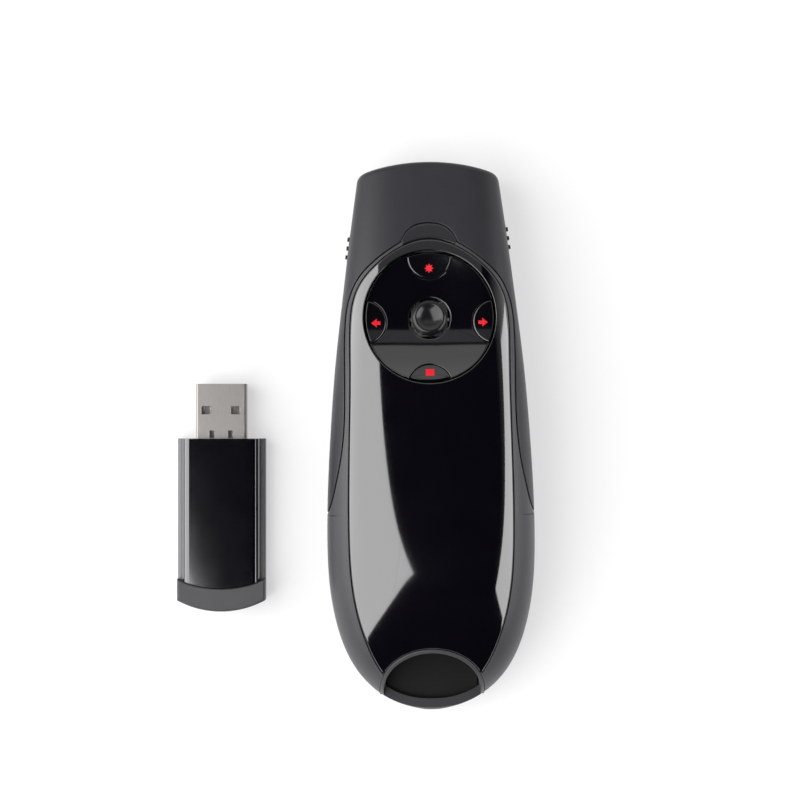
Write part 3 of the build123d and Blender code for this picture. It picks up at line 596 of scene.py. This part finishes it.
# Angles of the columns in three runs: to the slot's top, across the slot, down to the split
def flankAngles(start, y):
    high = np.minimum(angleAtHeight(coverForm["slotHigh"], y), start)
    low = np.minimum(angleAtHeight(coverForm["slotLow"], y), start)
    end = angleAtHeight(bodyForm["split"], y)
    runs = []
    for a, b, count in ((start, high, columns[0]), (high, low, columns[1]), (low, end, columns[2])):
        runs.append(a[:, None] + (b - a)[:, None] * np.linspace(0, 1, count, endpoint=False)[None])
    return np.concatenate((*runs, end[:, None]), 1)


# Grid of the skin: one row for each y, columns at the angles above
def gridOnSkin(start, y):
    angle = flankAngles(start, y)
    return sectionPoint(angle, np.repeat(y[:, None], angle.shape[1], 1))


wingX, wingY = wingIn[:, 0], wingIn[:, 1]
wingWidth, wingBelt = bodyAt(wingY)[:2]
startAngle = np.arctan2(topHeight(wingX, wingY) - wingBelt, np.maximum(wingX, 0))
startAngle = np.where(wingX < wingWidth, startAngle, 0.0)
startAngle[-1] = math.pi / 2
wingGrid = gridOnSkin(startAngle, wingY)
rounding = []
for a in roundSteps[:0:-1]:
    plan = wingIn + wingNormal * coverForm["edge"] * math.sin(a)
    plan[:, 0] = np.minimum(plan[:, 0], bodyAt(plan[:, 1])[0])
    rounding.append(onTop(plan, coverForm["edge"] * (1 - math.cos(a))))
wallFoot = rounding[0] - (0, 0, coverForm["groove"])
wingGrid = np.concatenate((wallFoot[:, None], np.stack(rounding, 1), wingGrid), 1)
wingGrid[:, :, 0] = np.maximum(wingGrid[:, :, 0], 0)
extra = len(rounding) + 1  # columns of the wall and the rounded border
wingGrid[-1, :extra, 0] = 0
tipRow = wingGrid[0] - (coverForm["wingTip"], 0, 0)
wingGrid = np.concatenate((tipRow[None], wingGrid))
slotRows = (rowsA, rowsA + rowsB - 1)


# Bowed front of the nose: y = tip - (R - sqrt(R^2 - x^2))
def frontY(x):
    return bodyForm["noseTip"] - bodyForm["noseRadius"] + np.sqrt(bodyForm["noseRadius"] ** 2 - x**2)


browY = wingY[-1]
columnStart = np.full(1, math.pi / 2)
frontAngle = flankAngles(columnStart, np.full(1, coverForm["frontRow"]))[0]
browAngle = flankAngles(columnStart, np.full(1, browY))[0]
upness = np.clip(np.sin(frontAngle), 0, 1) ** 0.5
radius = coverForm["frontSide"] + (coverForm["frontTop"] - coverForm["frontSide"]) * upness
frontRow = sectionPoint(frontAngle, np.full_like(frontAngle, coverForm["frontRow"]))
stopY = frontY(frontRow[:, 0]) - radius
noseRows = []
for share in np.linspace(0, 1, coverForm["noseRows"])[1:]:
    angle = browAngle + (frontAngle - browAngle) * share
    noseRows.append(sectionPoint(angle, browY + (stopY - browY) * share))

# Rounded front edge: the last row's section normal turned towards the front face
last = noseRows[-1]
half, belt, top, bottom, n = bodyAt(stopY)
tall = np.where(frontAngle >= 0, top - belt, belt - bottom)
power = np.where(frontAngle >= 0, n, bodyForm["lowerFullness"])
normalX = (np.abs(last[:, 0]) / half) ** (power - 1) / half
normalZ = np.sign(last[:, 2] - belt) * (np.abs(last[:, 2] - belt) / tall) ** (power - 1) / tall
size = np.hypot(normalX, normalZ)
normalX, normalZ = normalX / size, normalZ / size
for a in np.radians(coverForm["frontTurns"]):
    x = last[:, 0] - normalX * radius * (1 - math.cos(a))
    z = last[:, 2] - normalZ * radius * (1 - math.cos(a))
    z[-1] = bodyForm["split"]
    x[0] = 0
    noseRows.append(np.stack((x, frontY(x) - radius + radius * math.sin(a), z), -1))


# Point of the sight hole's rim at a polar angle
def sightPoint(turn):
    r = coverForm["sightRadius"]
    return r * np.cos(turn), coverForm["sightZ"] + r * np.sin(turn)


# Rows of the bowed front face from a border line to the sight hole, and one inside the hole
def faceRows(borderX, borderZ):
    holeX, holeZ = sightPoint(np.arctan2(borderZ - coverForm["sightZ"], borderX))
    rows = []
    for share in np.linspace(0, 1, coverForm["faceRows"]):
        x = borderX + (holeX - borderX) * share
        rows.append(np.stack((x, frontY(x), borderZ + (holeZ - borderZ) * share), -1))
    rows.append(np.stack((holeX, frontY(holeX) - coverForm["sightDepth"], holeZ), -1))
    return rows


rimLine = noseRows[-1]
noseRows += faceRows(rimLine[:, 0], rimLine[:, 2])[1:]
noseGrid = np.stack(noseRows)
noseGrid[:, 0, 0] = 0
noseGrid = np.concatenate((np.repeat(noseGrid[:, :1], extra, 1), noseGrid), 1)
cover = np.concatenate((wingGrid, noseGrid))
slotCols = (extra + columns[0], extra + columns[0] + columns[1])
coverPart = part(cover, window=(*slotRows, *slotCols))

# Lower middle of the nose front, between the split and the sight hole
cornerX = rimLine[-1, 0]
baseX = np.linspace(cornerX, -cornerX, coverForm["baseColumns"])
lowPart = part(np.stack(faceRows(baseX, np.full_like(baseX, bodyForm["split"]))))

# Walls of the slider slot: its border carried inward, square to the flank
r0, r1 = slotRows
c0, c1 = slotCols
border = np.concatenate((cover[r0:r1, c0], cover[r1, c0:c1], cover[r1:r0:-1, c1], cover[r0, c1:c0:-1]))
flankNormal = np.array((0.992, 0.1255, 0))
slotSteps = (0, coverForm["slotEdge"], coverForm["slotDepth"])
slotWall = part(np.stack([border - depth * flankNormal for depth in slotSteps], 1), True, False)
lip = cover[:, -1]
lipRows = len(wingGrid) + coverForm["noseRows"] - 1
lipPart = part(np.stack((lip, lip - (coverForm["lip"], 0, 0)), 1)[:lipRows])
coverParts = [coverPart, slotWall, lipPart]
makePiece(
    "noseCover", [*coverParts, *[mirrored(p) for p in coverParts], lowPart], finishes["charcoal"],
    standsFor=["nose_cover"], sharp=42,
)
print("nose cover made")

# Rear frame: rays from the insert's edge outward and down to the split
frameForm = {
    "startX": 5.9, "edgeRows": 420, "armGrow": 0.02, "armBelow": 0.3, "armAbove": 0.15, "armRows": 50,
    "rays": 240, "farthest": 45.0, "halvings": 34, "wingTail": -19.6, "columns": 44, "spread": 1.15,
    "edgeDrop": 0.12, "edgeRound": 0.1, "edgeSoft": 0.02, "ledge": 1.6, "wall": 0.7,
}
frameStart = np.argmax(insertHalf[:, 0] > frameForm["startX"])
outlineRun = evenly(insertHalf[frameStart:hit], frameForm["edgeRows"])
outlineOut = leftNormals(outlineRun)
armRun = rimHalf(outlines["rim"] + frameForm["armGrow"])
armRun = armRun[(armRun[:, 1] < tip[1] - frameForm["armBelow"])]
armEnd = np.argmax(topHeight(armRun[:, 0], armRun[:, 1]) < bodyForm["split"] + frameForm["armAbove"])
armRun = evenly(armRun[:armEnd], frameForm["armRows"])
baseRun = np.concatenate((outlineRun + outlineOut * outlines["panelGap"], armRun))
rayOut = np.concatenate((outlineOut, np.repeat(outlineOut[-1:], len(armRun), 0)))
if (rayOut * baseRun)[:, 0].mean() < 0:
    rayOut = -rayOut
    baseRun[: len(outlineRun)] = outlineRun - outlineOut * outlines["panelGap"]
rayTilt = np.linspace(math.pi / 2, 0, frameForm["rays"])
floorZ = bodyForm["split"]


# Distance along each ray at which the body ends, by halving
def rayLength(base, out, tilt):
    low = np.zeros((len(base), len(tilt)))
    high = np.full_like(low, frameForm["farthest"])
    for halving in range(frameForm["halvings"]):
        middle = (low + high) / 2
        x = base[:, :1] + out[:, :1] * middle * np.cos(tilt)
        y = base[:, 1:] + out[:, 1:] * middle * np.cos(tilt)
        z = floorZ + middle * np.sin(tilt)
        inBody = bodyValue(x, y, z) < 1
        low, high = np.where(inBody, middle, low), np.where(inBody, high, middle)
    return low


# Where each ray's fall meets the seam to the nose cover: the rays end there, elsewhere at the split
reach = rayLength(baseRun, rayOut, rayTilt)
planX = baseRun[:, :1] + rayOut[:, :1] * reach * np.cos(rayTilt)
planY = baseRun[:, 1:] + rayOut[:, 1:] * reach * np.cos(rayTilt)
coverLine = np.concatenate((coverHalf, browHalf[1:]))
edgeX = np.interp(planY, coverLine[:, 1], coverLine[:, 0])
edgeLean = np.interp(planY, coverLine[:, 1], np.gradient(coverLine[:, 0]) / np.gradient(coverLine[:, 1]))
gapLeft = (np.abs(planX) - edgeX) / np.sqrt(1 + edgeLean**2) + bodyForm["seam"]
gapLeft = np.where(planY < frameForm["wingTail"], -9.0, gapLeft)
over = gapLeft > 0
k = np.clip(np.argmax(over, axis=1), 1, None)
rowsK = np.arange(len(baseRun))
g0, g1 = gapLeft[rowsK, k - 1], gapLeft[rowsK, k]
share = np.clip(-g0 / np.where(np.abs(g1 - g0) < 1e-9, 1, g1 - g0), 0, 1)
tiltEnd = np.where(over.any(axis=1), rayTilt[k - 1] + (rayTilt[k] - rayTilt[k - 1]) * share, 0.0)
columnShare = np.linspace(0, 1, frameForm["columns"]) ** frameForm["spread"]
tiltGrid = math.pi / 2 + (tiltEnd - math.pi / 2)[:, None] * columnShare[None]
length = np.stack([np.interp(-tiltGrid[i], -rayTilt, reach[i]) for i in range(len(baseRun))])


# Grid of the frame's skin, or of a surface under it
def rayPoints(shorter=0.0):
    flat = (length - shorter) * np.cos(tiltGrid)
    return np.stack(
        (baseRun[:, :1] + rayOut[:, :1] * flat, baseRun[:, 1:] + rayOut[:, 1:] * flat,
         floorZ + (length - shorter) * np.sin(tiltGrid)), -1)


onSkin = rayPoints()
innerTop = onSkin[:, :1]
out3 = np.concatenate((rayOut, np.zeros((len(rayOut), 1))), 1)[:, None]
ledge = innerTop - (0, 0, outlines["panelThick"] + frameForm["edgeDrop"])
ringGrid = np.concatenate((
    ledge - out3 * frameForm["ledge"],
    ledge,
    innerTop - (0, 0, frameForm["edgeDrop"]),
    innerTop + out3 * frameForm["edgeRound"] - (0, 0, frameForm["edgeSoft"]),
    onSkin[:, 2:],
    onSkin[:, -1:],
    rayPoints(frameForm["wall"])[:, -1:],
), 1)
ring = part(ringGrid, turned=True)

# Rim of the finger cut-out: band round the arch, its section in (offset, drop), its wall down to the floor
rimForm = {
    "rows": 120, "above": 0.05, "floor": 6.0, "wall": (0.0, 9.0),
    "section": ((0.0, 0.24), (0.03, 0.12), (0.11, 0.03), (0.22, 0.0), (0.45, 0.0), (0.68, 0.0), (0.80, 0.03),
                (0.87, 0.1), (0.90, 0.2), (0.90, 1.7)),
}
cutHalf = rimHalf(0.0)
endCut = np.argmax(topHeight(cutHalf[:, 0], cutHalf[:, 1]) < bodyForm["split"] + rimForm["above"])
cutRun = evenly(cutHalf[:endCut], rimForm["rows"])
cutOut = leftNormals(cutRun)
if cutOut[5, 1] < 0:
    cutOut = -cutOut
cutOut[0] = (0, 1)
wallFoot = onTop(cutRun, rimForm["wall"][1])
wallFoot[:, 2] = np.maximum(wallFoot[:, 2], rimForm["floor"])
band = [wallFoot] + [onTop(cutRun + cutOut * offset, drop) for offset, drop in rimForm["section"]]
bandPart = part(np.stack(band, 1), turned=True)

# Tray under the status window
trayForm = {"halfWidth": 9.0, "tail": 43.0, "nose": 51.0, "drop": 1.9, "columns": 12, "rows": 14}
trayX, trayY = np.meshgrid(
    np.linspace(0, trayForm["halfWidth"], trayForm["columns"]),
    np.linspace(trayForm["tail"], trayForm["nose"], trayForm["rows"]),
)
trayPart = part(np.stack((trayX, trayY, topHeight(trayX, trayY) - trayForm["drop"]), -1))
frameParts = [ring, bandPart, trayPart]
makePiece(
    "rearFrame", [*frameParts, *[mirrored(p) for p in frameParts]], finishes["ring"],
    standsFor=["rear_frame"], sharp=40,
)
print("rear frame made")

# Controls are made in the dish's own frame and tilted with the nose
def tilted(points):
    a = math.radians(dish["tilt"])
    x, y, z = points[..., 0], points[..., 1], points[..., 2]
    turnedY = y * math.cos(a) - z * math.sin(a)
    turnedZ = y * math.sin(a) + z * math.cos(a)
    return np.stack((x, dish["y"] + turnedY, dish["z"] + turnedZ), -1)


# Dish face: z = sink ((r / R)^2 - 1) - sideDrop |x / R|^3, so that its sides follow the crowned insert
def dishHeight(x, y):
    bowl = dish["sink"] * ((x * x + y * y) / dish["radius"] ** 2 - 1)
    return bowl - dish["sideDrop"] * (np.abs(x) / dish["radius"]) ** 3


# A part in the dish's frame, tilted into place
def tiltPart(made):
    return tilted(made[0]), made[1]


controls = {
    "nubHole": 4.75, "buttonAt": 15.05, "buttonRadius": 5.0, "slotRadius": 5.2, "buttonReach": 14.85,
    "proud": 0.3, "buttonDrop": 1.0, "buttonThick": 1.4, "buttonRound": 0.28, "holeRound": 0.25,
    "borderRound": 0.12, "dishRows": 30, "buttonRows": 26,
}


# Where a circle of radius r about (cx, cy) leaves the circle of radius far about the middle: its two points
def circleCross(cx, cy, r, far):
    away = math.hypot(cx, cy)
    spread = math.acos((far**2 + away**2 - r**2) / (2 * far * away))
    middle = math.atan2(cy, cx)
    return middle - spread, middle + spread


# Middle of a key's circle
def keyMiddle(degrees):
    a = math.radians(degrees)
    return controls["buttonAt"] * math.cos(a), controls["buttonAt"] * math.sin(a) - controls["buttonDrop"]


# Dish border: rim arcs between the buttons' slots, and round each slot
def dishBorder():
    slots = []
    for degrees in (0, 90, 180, 270):
        cx, cy = keyMiddle(degrees)
        first, second = circleCross(cx, cy, controls["slotRadius"], dish["radius"])
        slots.append((first, second, cx, cy))
    pieces = []
    for i, (first, second, cx, cy) in enumerate(slots):
        a0 = math.atan2(dish["radius"] * math.sin(first) - cy, dish["radius"] * math.cos(first) - cx)
        a1 = math.atan2(dish["radius"] * math.sin(second) - cy, dish["radius"] * math.cos(second) - cx)
        bend = a0 - np.linspace(0, (a0 - a1) % (2 * math.pi), 60)[:-1]
        slotX = cx + controls["slotRadius"] * np.cos(bend)
        slotY = cy + controls["slotRadius"] * np.sin(bend)
        pieces.append(np.stack((slotX, slotY), -1))
        after = slots[(i + 1) % len(slots)][0]
        arc = second + np.linspace(0, (after - second) % (2 * math.pi), 50)[:-1]
        pieces.append(np.stack((dish["radius"] * np.cos(arc), dish["radius"] * np.sin(arc)), -1))
    return np.concatenate(pieces)


dishLoop = dishBorder()
dishInner = circleUnder(dishLoop, controls["nubHole"], np.zeros(2))
dishPlate = plateBetween(dishInner, dishLoop, dishHeight, dish["thick"],
                         controls["holeRound"], controls["borderRound"], controls["dishRows"])
makePiece(
    "controlDish", [tiltPart(dishPlate)], finishes["gloss"],
    standsFor=["control_dish"], closed=True,
)


# Button: lens between its own circle and the dish rim, standing proud of the dish
def buttonLoop(degrees):
    r, far = controls["buttonRadius"], controls["buttonReach"]
    cx, cy = keyMiddle(degrees)
    first, second = circleCross(cx, cy, r, far)
    arc = np.linspace(first, second, 60)
    outerArc = np.stack((far * np.cos(arc), far * np.sin(arc)), -1)
    start = math.atan2(outerArc[-1, 1] - cy, outerArc[-1, 0] - cx)
    end = math.atan2(outerArc[0, 1] - cy, outerArc[0, 0] - cx)
    bend = start + np.linspace(0, (end - start) % (2 * math.pi), 90)[1:-1]
    innerArc = np.stack((cx + r * np.cos(bend), cy + r * np.sin(bend)), -1)
    return np.concatenate((outerArc, innerArc))


# Face of the buttons
def buttonHeight(x, y):
    return dishHeight(x, y) + controls["proud"]


buttonTurns = {"laser_button": 90, "back_button": 180, "blank_button": 270, "forward_button": 0}
for name, degrees in buttonTurns.items():
    loop = buttonLoop(degrees)
    middle = np.repeat(loop.mean(0)[None], len(loop), 0)
    lens = plateBetween(middle, loop, buttonHeight, controls["buttonThick"], 0,
                        controls["buttonRound"], controls["buttonRows"])
    makePiece(
        name + "Cap", [tiltPart(lens)], finishes["button"],
        body=name, standsFor=[name], closed=True,
    )


# Round solid: profile of (radius, height) turned about the local upright axis
def turned(profile, count=96):
    a = np.linspace(0, 2 * math.pi, count, endpoint=False)
    r, z = profile[:, 0], profile[:, 1]
    return np.stack((np.cos(a)[:, None] * r, np.sin(a)[:, None] * r, np.repeat(z[None], count, 0)), -1)


# Joystick cap: a hollow for the thumb of radius cupRadius, then its lip, side and foot as (radius, height)
nubForm = {
    "cupRadius": 5.0, "cupZ": 3.65, "cupEdge": 2.95, "cupSteps": 16,
    "side": [(3.05, -0.33), (3.2, -0.30), (3.4, -0.33), (3.7, -0.48), (3.93, -0.75), (4.05, -1.2),
             (4.05, -2.7), (3.65, -3.1), (1.2, -3.1), (0, -3.1)],
}
hollow = np.linspace(0, nubForm["cupEdge"], nubForm["cupSteps"])
cup = np.stack((hollow, nubForm["cupZ"] - np.sqrt(nubForm["cupRadius"] ** 2 - hollow**2)), -1)
nubProfile = np.concatenate((cup, nubForm["side"]))
makePiece(
    "joystickCap", [tiltPart(part(turned(nubProfile), True, False))], finishes["nub"],
    body="joystick", standsFor=["joystick_cap"], closed=True,
)
print("controls made")

# Printed signs on the buttons: thin flat outlines laid on the button faces
signForm = {
    "lift": 0.035, "thick": 0.06, "round": 0.01, "rows": 8, "sideSteps": 12,
    "burstAt": (0, 11.4), "burstSteps": 96, "burstLow": 0.62, "burstHigh": 0.42, "burstPoints": 4,
    "arrowAt": (-12.4, -1.2), "squareAt": (0, -12.9), "squareHalf": (1.0, 0.8),
    "arrow": [(-1.05, 0.0), (0.25, 1.05), (0.25, 0.42), (1.1, 0.42),
              (1.1, -0.42), (0.25, -0.42), (0.25, -1.05)],
}


# Top face of the signs
def signHeight(x, y):
    return buttonHeight(x, y) + signForm["lift"]


# One sign: its loop about a middle point, riding on its button
def signPiece(name, loop, middle, body):
    inner = np.repeat(np.asarray(middle, float)[None], len(loop), 0)
    plate = plateBetween(inner, loop + middle, signHeight, signForm["thick"], 0,
                         signForm["round"], signForm["rows"])
    makePiece(name, [tiltPart(plate)], finishes["ink"], body=body, closed=True)


# Points along the straight sides of a closed shape
def alongSides(corners):
    ends = [*corners[1:], corners[0]]
    steps = signForm["sideSteps"]
    return np.concatenate([np.linspace(a, b, steps, endpoint=False) for a, b in zip(corners, ends)])


angles = np.linspace(0, 2 * math.pi, signForm["burstSteps"], endpoint=False)
points = np.abs(np.cos(angles * signForm["burstPoints"])) ** 3
burst = signForm["burstLow"] + signForm["burstHigh"] * points
signPiece("laserSign", np.stack((burst * np.cos(angles), burst * np.sin(angles)), -1),
          signForm["burstAt"], "laser_button")
arrow = alongSides(signForm["arrow"])
arrowX, arrowY = signForm["arrowAt"]
signPiece("backSign", arrow, (arrowX, arrowY), "back_button")
signPiece("forwardSign", arrow[::-1] * (-1, 1), (-arrowX, arrowY), "forward_button")
wide, long = signForm["squareHalf"]
square = alongSides([(-wide, -long), (wide, -long), (wide, long), (-wide, long)])
signPiece("blankSign", square, signForm["squareAt"], "blank_button")
print("signs made")

# Floor, light and camera
stageForm = {
    "floorSize": 3.0, "floorZ": -0.0002, "floorGrey": 0.5, "floorTint": (1.0, 0.985, 1.0), "floorGlow": 0.52,
    "ambient": 0.15, "darkAbove": 0.80, "whiteBelow": 0.15, "darkBehind": -0.45, "whiteAhead": -0.10,
}


# One for camera, glossy and transmitted rays, so that gloss and glass show the white background too
def backgroundRays(nodes, links):
    path = nodes.new("ShaderNodeLightPath")
    first = nodes.new("ShaderNodeMath")
    first.operation = "ADD"
    second = nodes.new("ShaderNodeMath")
    second.operation = "ADD"
    second.use_clamp = True
    links.new(path.outputs["Is Camera Ray"], first.inputs[0])
    links.new(path.outputs["Is Glossy Ray"], first.inputs[1])
    links.new(first.outputs["Value"], second.inputs[0])
    links.new(path.outputs["Is Transmission Ray"], second.inputs[1])
    return second.outputs["Value"]


reachOfFloor = stageForm["floorSize"] / 2
floorCorners = [(x, y, stageForm["floorZ"]) for x, y in (
    (-reachOfFloor, -reachOfFloor), (reachOfFloor, -reachOfFloor),
    (reachOfFloor, reachOfFloor), (-reachOfFloor, reachOfFloor),
)]
floorMesh = bpy.data.meshes.new("floor")
floorMesh.from_pydata(floorCorners, [], [(0, 1, 2, 3)])
floor = bpy.data.objects.new("floor", floorMesh)
bpy.context.scene.collection.objects.link(floor)
floorMaterial, nodes, links = newMaterial("paleFloor")
shader = nodes["Principled BSDF"]
shader.inputs["Base Color"].default_value = (*[stageForm["floorGrey"]] * 3, 1)
shader.inputs["Roughness"].default_value = 0.9
shader.inputs["Specular IOR Level"].default_value = 0.0
shader.inputs["Emission Color"].default_value = (*stageForm["floorTint"], 1)
glow = nodes.new("ShaderNodeMath")
glow.operation = "MULTIPLY"
glow.inputs[1].default_value = stageForm["floorGlow"]
links.new(backgroundRays(nodes, links), glow.inputs[0])
links.new(glow.outputs["Value"], shader.inputs["Emission Strength"])
floor.data.materials.append(floorMaterial)

# World: plain grey for light, white to the camera; gloss and glass see white low down ahead, dark elsewhere
world = bpy.data.worlds.new("studio")
world.use_nodes = True
bpy.context.scene.world = world
nodes, links = world.node_tree.nodes, world.node_tree.links
background = nodes["Background"]
direction = nodes.new("ShaderNodeTexCoord")
upward = nodes.new("ShaderNodeSeparateXYZ")
links.new(direction.outputs["Generated"], upward.inputs["Vector"])
lowness = nodes.new("ShaderNodeMapRange")
lowness.inputs["From Min"].default_value = stageForm["darkAbove"]
lowness.inputs["From Max"].default_value = stageForm["whiteBelow"]
links.new(upward.outputs["Z"], lowness.inputs["Value"])
ahead = nodes.new("ShaderNodeMapRange")
ahead.inputs["From Min"].default_value = stageForm["darkBehind"]
ahead.inputs["From Max"].default_value = stageForm["whiteAhead"]
links.new(upward.outputs["Y"], ahead.inputs["Value"])
lowAhead = nodes.new("ShaderNodeMath")
lowAhead.operation = "MULTIPLY"
links.new(lowness.outputs["Result"], lowAhead.inputs[0])
links.new(ahead.outputs["Result"], lowAhead.inputs[1])
rays = nodes.new("ShaderNodeLightPath")
bright = nodes.new("ShaderNodeMath")
bright.operation = "MULTIPLY"
links.new(backgroundRays(nodes, links), bright.inputs[0])
seen = nodes.new("ShaderNodeMath")
seen.operation = "MAXIMUM"
links.new(lowAhead.outputs["Value"], seen.inputs[0])
links.new(rays.outputs["Is Camera Ray"], seen.inputs[1])
links.new(seen.outputs["Value"], bright.inputs[1])
diffuse = nodes.new("ShaderNodeMath")
diffuse.operation = "MULTIPLY"
diffuse.inputs[1].default_value = stageForm["ambient"]
links.new(rays.outputs["Is Diffuse Ray"], diffuse.inputs[0])
strength = nodes.new("ShaderNodeMath")
strength.operation = "ADD"
links.new(bright.outputs["Value"], strength.inputs[0])
links.new(diffuse.outputs["Value"], strength.inputs[1])
background.inputs["Color"].default_value = (1.0, 1.0, 1.0, 1)
links.new(strength.outputs["Value"], background.inputs["Strength"])


# Flat lamp with its width along one direction, its height along another, and a plain brightness
def panelLamp(name, form):
    light = bpy.data.lights.new(name, "AREA")
    light.shape = "RECTANGLE"
    light.size, light.size_y = form["size"]
    light.energy = form["bright"] * math.pi * light.size * light.size_y
    lamp = bpy.data.objects.new(name, light)
    bpy.context.scene.collection.objects.link(lamp)
    x, y = Vector(form["along"]).normalized(), Vector(form["up"]).normalized()
    turn = Matrix((x, y, x.cross(y))).transposed().to_4x4()
    lamp.matrix_world = Matrix.Translation(form["middle"]) @ turn
    lamp.visible_camera = False


# Two soft boxes at the sides, one ahead of the nose and a faint one above it
lampForms = {
    "leftPanel": {"middle": (-0.4021, -0.1046, 0.4371), "along": (-0.2843, 0.9266, -0.2463),
                  "up": (-0.6473, -0.375, -0.6636), "size": (0.86, 0.78), "bright": 3.2},
    "rightPanel": {"middle": (0.818, -0.139, 0.58), "along": (0.423, 0.906, 0),
                   "up": (0, 0, 1), "size": (0.96, 0.64), "bright": 3.2},
    "frontPanel": {"middle": (0.0, 0.585, 0.72), "along": (-1, 0, 0),
                   "up": (0, -0.777, 0.629), "size": (0.9, 0.30), "bright": 0.55},
    "frontGlow": {"middle": (0.0, 0.40, 0.84), "along": (-1, 0, 0),
                  "up": (0, -0.90, 0.43), "size": (0.7, 0.10), "bright": 0.22},
}
for name, form in lampForms.items():
    panelLamp(name, form)

cameraForm = {"lens": 122.3, "sensor": 36, "at": (-0.00697, 0.008875, 0.650), "roll": -0.52}
cameraData = bpy.data.cameras.new("camera")
cameraData.lens = cameraForm["lens"]
cameraData.sensor_width = cameraForm["sensor"]
cameraData.clip_start = 0.01
camera = bpy.data.objects.new("camera", cameraData)
bpy.context.scene.collection.objects.link(camera)
camera.location = cameraForm["at"]
camera.rotation_euler = (0, 0, math.radians(cameraForm["roll"]))
bpy.context.scene.camera = camera
bpy.context.scene.view_settings.view_transform = "Standard"
print("stage set")
